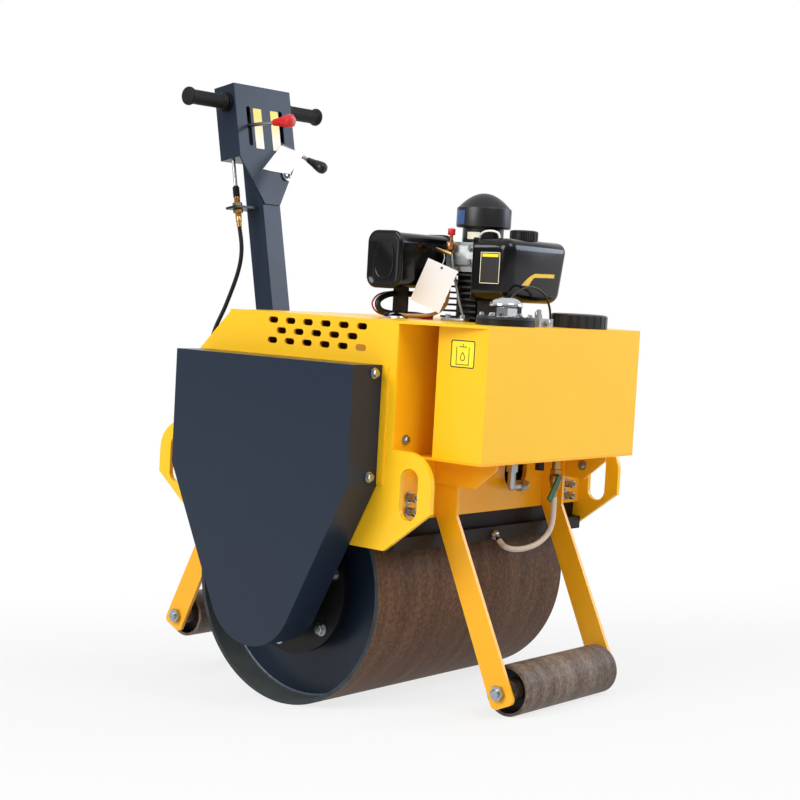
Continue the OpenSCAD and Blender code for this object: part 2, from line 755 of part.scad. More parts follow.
module cover_profile(i) {
  c = [0, drum_r];
  t = touch([cover_x, cover_kink], c, cover_r, -1);
  k = [cover_x - i, cover_kink - i * tan(atan2(cover_x - t[0], cover_kink - t[1]) / 2)];
  q = touch(k, c, cover_r - i, -1);
  polygon([[i - cover_x, cover_top - i], [cover_x - i, cover_top - i], k, q, c,
    [-q[0], q[1]], [-k[0], k[1]]]);
  translate(c) circle(r = cover_r - i);
}
module covers() color(slate) stand() both() {
  slab(cover_y - cover_depth, cover_depth - cover_t) difference() {
    cover_profile(0);
    cover_profile(cover_t);
  }
  slab(cover_y - cover_t, cover_t) cover_profile(0);
}
module cover_rails() color(yellow) stand() both() {
  x = cover_x - cover_t;
  h = cover_top - cover_t - rail_low;
  y = cover_y - cover_depth - side_out;
  slab(side_out, y + rail_lap) difference() {
    translate([-x, rail_low]) square([2 * x, h]);
    translate([rail_t - x, rail_low - cut]) square([2 * (x - rail_t), h - rail_t + cut]);
  }
  for (w = [rail_t - x, cover_x + rail_edge])
    slab(side_out, y) translate([w - cover_t - rail_t - rail_edge, rail_low])
      square([cover_t + rail_t + rail_edge, h]);
}

module tank() color(yellow) stand() translate([tank_x - tank_l, -tank_w / 2, tank_low])
  cube([tank_l, tank_w, deck_low - tank_low]);
module tank_bracket() color(yellow) stand() {
  translate([cross_x, -tank_w / 2, tray_low]) cube([tank_x - cross_x, tank_w, tray_t]);
  both() slab(gusset_y, tray_t) polygon([[cross_x, gusset_low], [gusset_x, gusset_low],
    [gusset_tip_x, gusset_tip_z], [gusset_tip_x, tray_low + cut], [cross_x, tray_low + cut]]);
}
module water_cap() color(black) stand() translate([cap_x, water_cap_y, deck_z])
  cylinder(d = water_cap_d, h = water_cap_h);
module oil_flange() color(black) stand() translate([cap_x, oil_y, deck_z])
  cylinder(d = oil_flange_d, h = oil_flange_h);
module oil_cap() color(steel) stand() translate([cap_x, oil_y, deck_z + oil_flange_h]) {
  a = oil_cap_d / 2;
  r = (a * a + oil_cap_h * oil_cap_h) / (2 * oil_cap_h);
  cylinder(d = oil_neck_d, h = oil_neck_h + cut);
  translate([0, 0, oil_neck_h]) rotate_extrude() intersection() {
    translate([0, oil_cap_h - r]) circle(r = r);
    square([a, oil_cap_h]);
  }
}
module breather() color(steel) stand()
  translate([cap_x - breather_l / 2, breather_y - breather_w / 2, deck_z])
    cube([breather_l, breather_w, breather_h]);

module tank_fittings() color(steel) stand() {
  x = cross_x + suction_out;
  y = suction_y + suction_run;
  translate([x, suction_y, suction_z]) cylinder(d = suction_d, h = tray_low - suction_z);
  translate([x, suction_y, tray_low - suction_nut_drop - suction_nut_l])
    cylinder(d = suction_nut_d, h = suction_nut_l, $fn = 6);
  for (w = [suction_y, y]) translate([x, w, suction_z]) sphere(d = suction_d);
  across(x, suction_y, suction_z, suction_run, suction_d);
  translate([x, y - suction_d / 2 - suction_nut_l, suction_z]) rotate([-90, 0, 0])
    cylinder(d = suction_nut_d, h = suction_nut_l, $fn = 6);
  forward(cross_x - cross_t, y, suction_z, x - cross_x + cross_t, suction_d);
  translate([tap_x, plug_y, tray_low - plug_h]) cylinder(d = plug_d, h = plug_h, $fn = 6);
}
module water_tap() color(brass) stand() translate([tap_x, tap_y, 0]) {
  translate([0, 0, tray_low - tap_pipe_h]) cylinder(d = tap_pipe_d, h = tap_pipe_h);
  translate([0, 0, tap_low]) rotate(180 / 8) cylinder(d = tap_d, h = tap_h, $fn = 8);
  translate([0, 0, tap_low - tail_h]) cylinder(d = tail_d, h = tail_h);
}
module tap_lever() color("#2f7d46") stand()
  translate([tap_x + tap_d / 2 * cos(180 / 8), tap_y - tap_d / 3, tap_low + tap_h / 2])
    rotate([-tap_lever_a, 0, 0]) translate([0, -tap_lever_w / 2, -tap_lever_l])
      cube([tap_lever_w / 4, tap_lever_w, tap_lever_l + tap_lever_w / 2]);
module water_hose() color("#d8cfae") stand() tube(route(hose_path, 5), hose_d, 10, [0.3, -1, 0.2]);

module scraper() {
  translate([scraper_x - scraper_l, -side_in, scraper_z - scraper_h])
    cube([scraper_l, 2 * side_in, scraper_h]);
  translate([cross_x - cross_t - upright_t, -side_in, scraper_z - cut])
    cube([upright_t, 2 * side_in, upright_top - scraper_z + cut]);
}
module scrapers() color(black) stand() {
  scraper();
  translate([scraper_x, 0, barb_z]) rotate([0, 90 + barb_a, 0]) translate([0, 0, -tail_d / 2])
    cylinder(d = tail_d, h = barb_l + tail_d / 2);
  mirror([1, 0, 0]) scraper();
}

module leg_pair() both() slab(leg_y - leg_t, leg_t) difference() {
  c = [roller_x, roller_z];
  a = [cross_x, leg_bend];
  b = [cross_x + leg_w, leg_bend];
  u = unit(c - (a + b) / 2);
  n = [u[1], -u[0]];
  k = [for (w = [1, -1]) c + (foot_l - foot_r) * u + w * (foot_w / 2 - foot_r) * n];
  union() {
    polygon([[cross_x, leg_top], a, touch(a, k[0], foot_r, 1), k[0] + (foot_r - tuck) * u,
      k[1] + (foot_r - tuck) * u, touch(b, k[1], foot_r, -1), b, [cross_x + leg_w, leg_top]]);
    for (p = k) translate(p) circle(r = foot_r);
  }
  translate(c) circle(d = axle_hole_d);
}
module legs() color(yellow) stand() { leg_pair(); mirror([1, 0, 0]) leg_pair(); }
module roller_axles() color(steel) stand() for (s = [-1, 1]) translate([s * roller_x, 0, roller_z]) {
  across(0, -leg_y - cut, 0, 2 * (leg_y + cut), axle_d);
  both() {
    translate([0, leg_y, 0]) rotate([-90, 0, 0]) cylinder(d = head_d, h = head_t, $fn = 6);
    across(0, roller_hub_y + spacer_gap, 0, leg_y - leg_t - roller_hub_y - spacer_gap, spacer_d);
  }
}
module guide_roller(x) translate([x, 0, roller_z]) {
  y = roller_w / 2 - disc_in - disc_t;
  difference() {
    across(0, -roller_w / 2, 0, roller_w, roller_d);
    across(0, -roller_w / 2 - cut, 0, roller_w + 2 * cut, roller_d - 2 * roller_wall);
  }
  both() difference() {
    union() {
      across(0, y, 0, disc_t, roller_d - roller_wall);
      across(0, y, 0, roller_hub_y - y, roller_hub_d);
    }
    across(0, y - cut, 0, roller_hub_y - y + 2 * cut, axle_d + 2 * run_clear);
  }
}
module front_roller() color(rust) stand() guide_roller(roller_x);
module rear_roller() color(rust) stand() guide_roller(-roller_x);

module drum_shell() color(rust) stand() difference() {
  across(0, -drum_w / 2, drum_r, drum_w, drum_d);
  across(0, -drum_w / 2 - cut, drum_r, drum_w + 2 * cut, drum_d - 2 * drum_wall);
}
module drum_bulkheads() color(slate) stand() both()
  across(0, drum_w / 2 - bulkhead_in - bulkhead_t, drum_r, bulkhead_t, drum_d - 2 * drum_wall - 2 * seat_gap);
module drum_hubs() color(black) stand() both() {
  y = drum_w / 2 - bulkhead_in;
  across(0, y, drum_r, bulkhead_in - hub_in - hub_t + cut, hub_core_d);
  across(0, drum_w / 2 - hub_in - hub_t, drum_r, hub_t, hub_d);
  across(0, y, drum_r, hanger_out + bearing_t - y, shaft_d);
}

module engine_block() color(black) stand() translate([case_x0, engine_y - case_w / 2, plate_top])
  cube([case_l, case_w, case_top - plate_top]);
module cylinder_barrel() color("#4a4c4e") stand() translate([0, engine_y, 0]) {
  translate([cylinder_x, 0, case_top]) linear_extrude(barrel_top - case_top) circle(d = barrel_d);
  for (i = [0:fin_n - 1]) translate([fin_x0, -fin_w / 2, fin_z + i * fin_pitch]) cube([fin_l, fin_w, fin_t]);
}
module cylinder_head() color(steel) stand()
  translate([fin_x0 + head_in, engine_y - fin_w / 2 + head_in, barrel_top])
    cube([fin_l - 2 * head_in, fin_w - 2 * head_in, head_h]);
module fan_housing() color(black) stand() translate([case_x1, engine_y - fin_w / 2, plate_top + fan_low])
  cube([starter_l, fin_w, fuel_z - plate_top - fan_low]);
module muffler() color(black) stand() {
  translate([muffler_x0, 0, muffler_z]) for (y = [muffler_y, muffler_y + muffler_w - muffler_cap_t])
    slab(y, muffler_cap_t) rounded(muffler_l, muffler_h, muffler_r);
  translate([muffler_x0 + muffler_step, 0, muffler_z + muffler_step])
    slab(muffler_y + cut, muffler_w - 2 * cut)
      rounded(muffler_l - 2 * muffler_step, muffler_h - 2 * muffler_step, muffler_r - muffler_step);
}
module exhaust() color("#6b5a4a") stand() {
  x = muffler_x0 + muffler_l - muffler_step;
  forward(x, exhaust_y, exhaust_z, fin_x0 + head_in - x, exhaust_d);
  translate([muffler_x0 + (muffler_l - stay_w) / 2, muffler_y + muffler_w / 3, deck_z])
    cube([stay_w, stay_t, muffler_z + muffler_step - deck_z]);
}
module air_cleaner() color(black) stand() translate([cleaner_x, engine_y + cleaner_left, 0]) {
  a = cleaner_d / 2 - hat_in;
  r = (a * a + hat_h * hat_h) / (2 * hat_h);
  translate([0, 0, head_top]) linear_extrude(cleaner_z - head_top + cut) circle(d = foot_d);
  translate([0, 0, cleaner_z]) linear_extrude(cleaner_h) circle(d = cleaner_d);
  translate([0, 0, cleaner_z + cleaner_h]) rotate_extrude() intersection() {
    translate([0, hat_h - r]) circle(r = r);
    square([a, hat_h]);
  }
}
module fuel_profile() {
  a = [fuel_y0 + fuel_w - fuel_taper - fuel_r, fuel_r];
  b = [fuel_y0 + fuel_w - fuel_r, fuel_h - fuel_r];
  d = unit(b - a);
  n = fuel_r * [d[1], -d[0]];
  y = fuel_y0 + fuel_r;
  polygon([[y, 0], [a[0], 0], a + n, b + n, [b[0], fuel_h], [y, fuel_h],
    [fuel_y0, fuel_h - fuel_r], [fuel_y0, fuel_r]]);
  for (p = [a, b, [y, fuel_r], [y, fuel_h - fuel_r]]) translate(p) circle(r = fuel_r);
}
module fuel_tank() color(black) stand() translate([0, 0, fuel_z]) intersection() {
  facing(fuel_x0, fuel_l) fuel_profile();
  slab(fuel_y0, fuel_w) translate([fuel_x0, 0]) rounded(fuel_l, fuel_h, fuel_r);
  linear_extrude(fuel_h) translate([fuel_x0, fuel_y0]) rounded(fuel_l, fuel_w, fuel_r);
}
module fuel_cap() color(black) stand() translate([fuel_x0 + fuel_l / 2, fuel_cap_y, fuel_z + fuel_h])
  linear_extrude(fuel_cap_h) circle(d = fuel_cap_d);
module injector_pipe() color(steel) stand() tube(route(injector_path, 6), injector_d, 10, [0, 1, 0.2]);

module handle_bracket() color(yellow) stand() both() slab(cheek_y, cheek_t) difference() {
  c = [-pin_x, pin_z];
  p = [-cross_x, pin_z + cheek_h / 2];
  q = [-cross_x, pin_z - cheek_h / 2];
  union() {
    polygon([p, touch(p, c, cheek_r, 1), c, touch(q, c, cheek_r, -1), q]);
    translate(c) circle(r = cheek_r);
  }
  translate(c) circle(d = pin_d + 2 * seat_gap);
}
module fold_pin() color(steel) stand() translate([-pin_x, 0, pin_z]) {
  y = cheek_y + cheek_t;
  across(0, -y - cut, 0, 2 * (y + cut), pin_d);
  both() across(0, y, 0, pin_head_t, pin_head_d);
}
module column() color(slate) lean_up() difference() {
  union() {
    difference() {
      translate([column_x0, -column_w / 2, -column_foot]) cube([column_l, column_w, box_low + column_foot]);
      translate([column_x0 + column_wall, column_wall - column_w / 2, -column_foot - cut])
        cube([column_l - 2 * column_wall, column_w - 2 * column_wall, box_low + column_foot + 2 * cut]);
    }
    across(0, -column_w / 2, 0, column_w, pin_d + 2 * column_wall);
    translate([-tab_l / 2, -tab_y, tab_z]) cube([tab_l, tab_y - column_w / 2 + cut, tab_t]);
  }
  across(0, -column_w / 2 - cut, 0, column_w + 2 * cut, pin_d + 2 * run_clear);
  translate([0, -cable_y, tab_z - cut]) linear_extrude(tab_t + 2 * cut) circle(d = fitting_d + 2 * seat_gap);
}
module control_box() color(slate) lean_up() difference() {
  union() {
    facing(box_x - box_l, box_l) translate([-box_y, box_low]) square([2 * box_y, box_h]);
    facing(box_x - box_wall, box_wall) polygon([[-neck_x, neck_low], [neck_x, neck_low], [box_y, box_low],
      [box_y, box_low + cut], [-box_y, box_low + cut], [-box_y, box_low]]);
  }
  facing(box_x - box_l + box_wall, box_l - 2 * box_wall) translate([box_wall - box_y, box_low + box_wall])
    square([2 * (box_y - box_wall), box_h - 2 * box_wall]);
  facing(box_x - box_wall - cut, box_wall + 2 * cut) for (w = [-1, 1])
    translate([w * lever_y, lever_slot_z]) upright_slot(lever_slot_w, lever_slot_l);
  forward(box_x - box_wall - cut, key_y, box_low - key_drop, box_wall + 2 * cut, key_d);
  across(bar_x, -box_y - cut, bar_z, 2 * (box_y + cut), bar_hole_d);
}
module handlebar() color(steel) lean_up() {
  across(bar_x, -bar_y, bar_z, 2 * bar_y, bar_d);
  both() across(bar_x, box_y, bar_z, bar_collar_l, bar_collar_d);
}
module grips() color(black) lean_up() both() difference() {
  union() {
    across(bar_x, grip_y - grip_l, bar_z, grip_l, grip_d);
    across(bar_x, grip_y - grip_l, bar_z, flare_l, grip_flare_d);
    across(bar_x, grip_y - flare_l, bar_z, flare_l, grip_flare_d);
  }
  across(bar_x, grip_y - grip_l - cut, bar_z, bar_y - grip_y + grip_l + cut, bar_hole_d);
}
// Places a piece drawn along Z on a slanted lever, from the front of the box
module on_lever(y, z, a) lean_up() translate([box_x, y, z]) rotate([0, 90 + a, 0]) children();
module lever(a, l) {
  back = (box_l - box_wall - seat_gap - lever_d / 2 * sin(a)) / cos(a);
  translate([0, 0, -back]) linear_extrude(back + l) circle(d = lever_d);
}
module levers() color(steel) {
  on_lever(-lever_y, travel_z, travel_a) lever(travel_a, travel_l);
  on_lever(lever_y, throttle_z, throttle_a) lever(throttle_a, throttle_l);
}
module red_knob() color("#c0262c") on_lever(-lever_y, travel_z, travel_a) translate([0, 0, travel_l])
  cylinder(d1 = red_knob_root_d, d2 = red_knob_d, h = red_knob_l);
module black_knob() color(black) on_lever(lever_y, throttle_z, throttle_a) translate([0, 0, throttle_l])
  linear_extrude(black_knob_l) circle(d = black_knob_d);
module cable_fitting() color(brass) lean_up() translate([0, -cable_y, 0]) {
  translate([0, 0, fitting_low]) linear_extrude(fitting_l) circle(d = fitting_d);
  for (z = [tab_z - fitting_nut_h, tab_z + tab_t]) translate([0, 0, z])
    linear_extrude(fitting_nut_h) circle(d = fitting_nut_d, $fn = 6);
}
module push_rod() color(black) lean_up() translate([0, -cable_y, fitting_top]) {
  linear_extrude(boot_l) circle(d = boot_d);
  linear_extrude(box_low - fitting_top) circle(d = rod_d);
}
module control_cable() color(black) stand() tube(route(cable_path, 6), cable_d, 10, [0, 1, 0.1]);

side_plates();
cross_plates();
floor_plate();
hangers();
bearings();
hood_sides();
hood_ends();
deck();
cover_rails();
covers();
tank();
tank_bracket();
water_cap();
oil_flange();
oil_cap();
breather();
tank_fittings();
water_tap();
tap_lever();
water_hose();
scrapers();
legs();
roller_axles();
engine_block();
cylinder_barrel();
cylinder_head();
fan_housing();
muffler();
exhaust();
air_cleaner();
fuel_tank();
fuel_cap();
injector_pipe();
handle_bracket();
fold_pin();
drum_shell();
drum_bulkheads();
drum_hubs();
front_roller();
rear_roller();
column();
control_box();
handlebar();
grips();
levers();
red_knob();
black_knob();
cable_fitting();
push_rod();
control_cable();
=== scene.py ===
# %% [markdown]
# # A walk-behind road roller
# The machine is a wide steel drum under a sheet-steel hood, with a small engine on top, a tank in front,
# two guide rollers and a folding handle. The CAD solids come in as a fixed frame, and this lesson dresses
# them: finishes for the plain solids, and modelled pieces where the real thing has more shape.

# %% Load the solids
import json
import math

import bmesh
import bpy
from mathutils import Matrix, Vector


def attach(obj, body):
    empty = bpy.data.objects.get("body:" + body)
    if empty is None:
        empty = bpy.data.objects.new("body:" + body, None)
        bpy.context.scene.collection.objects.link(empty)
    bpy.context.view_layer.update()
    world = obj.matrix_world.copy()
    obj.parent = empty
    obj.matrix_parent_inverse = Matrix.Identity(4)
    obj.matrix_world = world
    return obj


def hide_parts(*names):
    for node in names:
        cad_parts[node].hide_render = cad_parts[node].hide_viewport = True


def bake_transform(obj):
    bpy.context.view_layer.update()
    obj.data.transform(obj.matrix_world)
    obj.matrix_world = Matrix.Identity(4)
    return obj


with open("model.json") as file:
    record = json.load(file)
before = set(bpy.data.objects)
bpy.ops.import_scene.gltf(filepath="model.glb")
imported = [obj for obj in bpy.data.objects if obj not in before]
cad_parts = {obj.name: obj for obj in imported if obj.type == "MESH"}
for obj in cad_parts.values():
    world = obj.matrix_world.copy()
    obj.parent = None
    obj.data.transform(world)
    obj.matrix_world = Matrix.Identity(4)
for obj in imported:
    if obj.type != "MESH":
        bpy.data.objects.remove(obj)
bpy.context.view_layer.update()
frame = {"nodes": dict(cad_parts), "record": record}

scene = bpy.context.scene

# %% [markdown]
# The machine rests nose down, on the drum and the front roller. Its parts are drawn level, in millimetres,
# from the ground line under the drum's axle, because a maker's drawing is level. The joints tell how the
# level drawing lies in the scene, so one matrix brings every piece to its place. The handle has a matrix of
# its own, because it is drawn upright from its fold pin.

# %% Two drawing frames
joints = {joint["name"]: Vector(joint["pos_m"]) for joint in frame["record"]["behaviour"]["joints"]}
DRUM_R = 233
HANDLE_LEAN = math.radians(11.3)
ahead = (joints["front_roller_spin"] - joints["rear_roller_spin"]).normalized()
left = Vector((0, 1, 0))
lie = Matrix((ahead, left, ahead.cross(left))).transposed().to_4x4()
mm = Matrix.Scale(0.001, 4)
LEVEL = Matrix.Translation(joints["drum_spin"]) @ lie @ mm @ Matrix.Translation((0, 0, -DRUM_R))
HANDLE = Matrix.Translation(joints["handle_fold"]) @ lie @ Matrix.Rotation(-HANDLE_LEAN, 4, "Y") @ mm
print("nose down by", round(math.degrees(math.asin(-ahead.z)), 2), "degrees")

# %% [markdown]
# Many pieces sit on a solid or take its place, so their sizes are read from the solid instead of being typed
# again. This function gives a solid's lowest and highest corner in one of the drawings. A round solid has
# flat facets that fall a little short, so the corners are rounded to a tenth of a millimetre.

# %% Boxes of the solids
def drawn_box(name, at=LEVEL):
    to_drawing = at.inverted()
    places = [to_drawing @ vertex.co for vertex in frame["nodes"][name].data.vertices]
    low = Vector([round(min(place[i] for place in places), 1) for i in range(3)])
    high = Vector([round(max(place[i] for place in places), 1) for i in range(3)])
    return low, high

def middle_of(box):
    return (box[0] + box[1]) / 2

deck_top = drawn_box("deck")[1].z
print("the deck's top is", deck_top, "mm up in the level drawing")

# %% [markdown]
# The camera comes first, so that every later piece can be judged from the same place. It stands low, ahead
# of the machine and to its right, with a lens of about 27 degrees. The place was fitted to the drum, plates
# and covers.

# %% Camera
CAMERA_PLACE = (2.23317, -2.64667, 0.61645)
CAMERA_TURN = (89.4239, 0.732, 39.4211)
VIEW_ANGLE = 26.8809
camera = bpy.data.objects.new("camera", bpy.data.cameras.new("camera"))
camera.location = CAMERA_PLACE
camera.rotation_euler = [math.radians(angle) for angle in CAMERA_TURN]
camera.data.angle = math.radians(VIEW_ANGLE)
scene.collection.objects.link(camera)
scene.camera = camera
print("camera", [round(v, 2) for v in camera.location])

# %% [markdown]
# Colours are picked as sRGB hex values, as in any paint program, but shaders work in linear light. One
# function turns one into the other. Shaders are graphs of nodes, and one more function adds a node with its
# settings, its fixed inputs and its links in one line, so that a finish reads like a short recipe.

# %% Colour and node helpers
PAINT_YELLOW = "#FFC81A"

def linear(hex_code):
    parts = [int(hex_code[i:i + 2], 16) / 255 for i in (1, 3, 5)]
    return [c / 12.92 if c <= 0.04045 else ((c + 0.055) / 1.055) ** 2.4 for c in parts] + [1.0]

def add(tree, kind, inputs=None, **settings):
    node = tree.nodes.new(kind)
    for name, value in settings.items():
        setattr(node, name, value)
    for socket, value in (inputs or {}).items():
        if isinstance(value, bpy.types.NodeSocket):
            tree.links.new(value, node.inputs[socket])
        else:
            node.inputs[socket].default_value = value
    return node

print("paint yellow in linear light:", [round(v, 3) for v in linear(PAINT_YELLOW)])

# %% [markdown]
# The light is a plain studio. The surround is brighter overhead than at the sides, as in a hall with a pale
# ceiling, so dark paint keeps its depth.

# %% Surround
scene.view_settings.view_transform = "Standard"
world = bpy.data.worlds.new("studio")
scene.world = world
world.use_nodes = True
hall = world.node_tree
hall.nodes.clear()
way = add(hall, "ShaderNodeTexCoord").outputs["Generated"]
height = add(hall, "ShaderNodeSeparateXYZ", {0: way}).outputs["Z"]
bright = add(hall, "ShaderNodeMapRange", {"Value": height, "From Min": 0.0, "From Max": 0.8,
                                          "To Min": 0.22, "To Max": 0.95}).outputs[0]
sky = add(hall, "ShaderNodeBackground", {"Color": linear("#F2F4F7"), "Strength": bright})
add(hall, "ShaderNodeOutputWorld", {"Surface": sky.outputs[0]})
print("surround of", len(hall.nodes), "nodes")

# %% [markdown]
# Three broad lamps fill the surround in: one on the machine's right, one ahead and a slightly cool one on its
# left. Small hard lamps would throw shadows that hide the shapes.

# %% Lamps
def lamp(name, place, aim, size, watts, tint="#FFFFFF"):
    light = bpy.data.lights.new(name, "AREA")
    light.shape = "DISK"
    light.size = size
    light.energy = watts
    light.color = linear(tint)[:3]
    obj = bpy.data.objects.new(name, light)
    obj.location = place
    obj.rotation_euler = (Vector(aim) - Vector(place)).to_track_quat("-Z", "Y").to_euler()
    scene.collection.objects.link(obj)
    return obj

lamps = [lamp("right_lamp", (-0.6, -4.6, 3.0), (0, 0, 0.5), 3.0, 168),
         lamp("front_lamp", (3.6, -0.6, 4.2), (0.2, 0, 0.6), 2.6, 98, "#FFF6EC"),
         lamp("left_lamp", (3.0, 4.0, 2.2), (0, 0, 0.8), 2.4, 80, "#DCE8FF")]
print(len(lamps), "lamps")

# %% [markdown]
# The floor is one large pale sheet that turns up into a wall far behind the machine, as paper does in a
# studio. Its two directions follow the camera: straight back and across.

# %% Floor and backdrop
back = Vector((-0.635, 0.772, 0))
side = Vector((0.772, 0.635, 0))
FRONT_EDGE, WALL, WALL_HEIGHT, HALF_WIDTH = -30, 14, 14, 60
folds = ((FRONT_EDGE, 0), (WALL, 0), (WALL, WALL_HEIGHT))
sheet = [back * reach + side * width + Vector((0, 0, rise)) for reach, rise in folds
         for width in (-HALF_WIDTH, HALF_WIDTH)]
floor_mesh = bpy.data.meshes.new("floor")
floor_mesh.from_pydata(sheet, [], [(0, 1, 3, 2), (2, 3, 5, 4)])
floor = bpy.data.objects.new("floor", floor_mesh)
scene.collection.objects.link(floor)
print("floor of", len(floor_mesh.polygons), "faces")

# %% [markdown]
# The paper is matt and takes the soft shadow. To the camera, to mirrors and through glass it also shows a
# share of plain white of its own: about three quarters at the machine, where the shadow has to stay, and all
# of it farther back, where the lamps no longer reach.

# %% Pale paper
pale = bpy.data.materials.new("matt pale paper")
pale.use_nodes = True
paper = pale.node_tree
paper.nodes.clear()
spot = add(paper, "ShaderNodeTexCoord").outputs["Object"]
reach = add(paper, "ShaderNodeVectorMath", {0: spot, 1: back}, operation="DOT_PRODUCT").outputs["Value"]
far = add(paper, "ShaderNodeMapRange", {"Value": reach, "From Min": 0.2, "From Max": 1.6, "To Min": 0.78},
          interpolation_type="SMOOTHSTEP").outputs[0]
path = add(paper, "ShaderNodeLightPath").outputs
eye = add(paper, "ShaderNodeMath", {0: path["Is Camera Ray"], 1: path["Is Glossy Ray"]}, operation="MAXIMUM")
eyes = add(paper, "ShaderNodeMath", {0: eye.outputs[0], 1: path["Is Transmission Ray"]}, operation="MAXIMUM")
own = add(paper, "ShaderNodeMath", {0: eyes.outputs[0], 1: far}, operation="MULTIPLY").outputs[0]
matt = add(paper, "ShaderNodeBsdfDiffuse", {"Color": linear("#D4D4D5")})
glow = add(paper, "ShaderNodeEmission", {"Color": linear("#FFFFFF"), "Strength": 1.0})
sheet_look = add(paper, "ShaderNodeMixShader", {0: own, 1: matt.outputs[0], 2: glow.outputs[0]})
add(paper, "ShaderNodeOutputMaterial", {"Surface": sheet_look.outputs[0]})
floor_mesh.materials.append(pale)
print("floor and backdrop laid")

# %% [markdown]
# Most finishes here share one build-up: a colour that drifts a little in patches, a sheen that drifts with
# it, and a fine skin that catches the light. Patches and grain are given in millimetres and turned into noise
# scales, which are counted per metre. Grain finer than the picture can show is drawn coarser, as noted where
# it is used. Each line below gives the colour, its shade, the patches, the grain, the grain's depth and the
# roughness from the first to the second. Roughness and index of refraction (IOR) start from what is typical
# for the material and are then matched to the object.

# %% A finish with patches and a skin
def surface(name, colour, shade, patch_mm, grain_mm, depth_mm, rough, **shader_inputs):
    finish = bpy.data.materials.new(name)
    finish.use_nodes = True
    tree = finish.node_tree
    tree.nodes.clear()
    spot = add(tree, "ShaderNodeTexCoord").outputs["Object"]
    patch = add(tree, "ShaderNodeTexNoise", {"Vector": spot, "Scale": 1000 / patch_mm, "Detail": 5.0})
    spread = add(tree, "ShaderNodeMapRange", {"Value": patch.outputs["Fac"], "From Min": 0.15,
                                              "From Max": 0.85}).outputs[0]
    tone = add(tree, "ShaderNodeMix", {0: spread, 6: linear(colour), 7: linear(shade)}, data_type="RGBA")
    sheen = add(tree, "ShaderNodeMapRange", {"Value": spread, "To Min": rough[0], "To Max": rough[1]})
    grain = add(tree, "ShaderNodeTexNoise", {"Vector": spot, "Scale": 1000 / grain_mm, "Detail": 2.0})
    skin = add(tree, "ShaderNodeBump", {"Height": grain.outputs["Fac"], "Distance": depth_mm / 1000})
    inputs = {"Base Color": tone.outputs[2], "Roughness": sheen.outputs[0], "Normal": skin.outputs[0]}
    inputs.update(shader_inputs)
    shader = add(tree, "ShaderNodeBsdfPrincipled", inputs)
    add(tree, "ShaderNodeOutputMaterial", {"Surface": shader.outputs[0]})
    return finish

print("surface() is ready")

# %% [markdown]
# ## Paints
# The sheet steel is sprayed with alkyd enamel: a smooth film with a faint ripple, called orange peel, that
# bends its reflections. Real orange peel is about 2 mm, too fine to show from here, so it is drawn at 14 mm.
# The drive covers and the handle carry a blue-grey powder coat, baked on, with a flatter sheen. The rest is
# black enamel. A dusty or rubbed film reflects less than a new one, so its IOR is set lower.

# %% Painted steel
# Gloss yellow: warm and saturated, with a clear soft sheen
yellow_enamel = surface("yellow alkyd enamel", PAINT_YELLOW, "#FAC015", 260, 14, 0.05, (0.26, 0.36), IOR=1.5)
# Painted shade: the same coat nearer to orange, for the plates, ends and legs that lie mostly in shade
shade_orange_enamel = surface("yellow alkyd enamel, orange for painted shade", "#FFB814", "#FAB010", 260, 14, 0.05, (0.26, 0.36),
                      IOR=1.5)
# Painted shade: the same coat a shade deeper, for the vent where the flange behind shows through
painted_shade_yellow = surface("yellow alkyd enamel, painted shade", "#BE800E", "#B2760B", 60, 14, 0.05, (0.4, 0.5),
                        IOR=1.5)
# Blue-grey, nearly matt, with broad soft highlights
slate_powder = surface("slate powder coat", "#1F2A3A", "#1E2837", 180, 10, 0.04, (0.26, 0.34), IOR=1.36)
# The drum's ends inside the shell: the slate coat drawn lighter and greyer than on the bulkheads, as painted
# light on the lit inner wall, drifting in random patches
lit_drum_coat = surface("slate coat, lighter for painted light", "#626864", "#3C4242", 90, 8, 0.06, (0.38, 0.55), IOR=1.45)
# Black brushed or sprayed on castings and bars: dark with a dull sheen
black_enamel = surface("black alkyd enamel", "#0A0A0B", "#131314", 70, 9, 0.08, (0.36, 0.5), IOR=1.36)
# Black enamel soiled with rust from the drum: dull and slightly brown
soiled_black = surface("rust-soiled black enamel", "#0B0908", "#1E150E", 40, 6, 0.1, (0.45, 0.6), IOR=1.33)
# Stoved black on pressed steel: mirror-like, so it shows the room more than its own colour
stoved_black = surface("stoved gloss black", "#060607", "#0A0A0C", 150, 40, 0.05, (0.12, 0.18), IOR=1.4)
print("painted steel mixed")

# %% [markdown]
# ## Bare metals
# Bolts and rods are zinc plated, which is bright but not a mirror. The filler cap is chromed. Fittings are
# turned brass. The cylinder head is sand-cast aluminium, with a grain from the mould, and the barrel is cast
# iron. A metal keeps the default IOR.

# %% Bare metals
# Zinc on bolts and rods: pale grey, bright, with soft highlights
zinc_plate = surface("bright zinc plate", "#B9BCBE", "#9FA4A8", 12, 4, 0.03, (0.25, 0.4), Metallic=1.0)
# Chrome: a clear mirror that shows the room
chrome_plate = surface("polished chrome plate", "#D9DADC", "#CFD1D4", 20, 12, 0.02, (0.06, 0.12),
                       Metallic=1.0)
# Brass from the lathe: warm yellow with a soft shine
turned_brass = surface("turned brass", "#B5965E", "#957848", 14, 4, 0.03, (0.25, 0.38), Metallic=1.0)
# Copper from the lathe: redder than brass
copper_fitting = surface("turned copper", "#C07F55", "#A4683F", 12, 4, 0.03, (0.25, 0.38), Metallic=1.0)
# Aluminium from a sand mould: pale, grainy and dull
cast_alloy = surface("sand-cast aluminium", "#B4B8BA", "#9DA2A5", 16, 3, 0.12, (0.42, 0.55), Metallic=0.85)
# Iron with its casting skin: nearly black, with a rough sheen
dark_iron = surface("dark cast iron", "#2A2B2D", "#38393B", 18, 4, 0.15, (0.5, 0.65), Metallic=0.4)
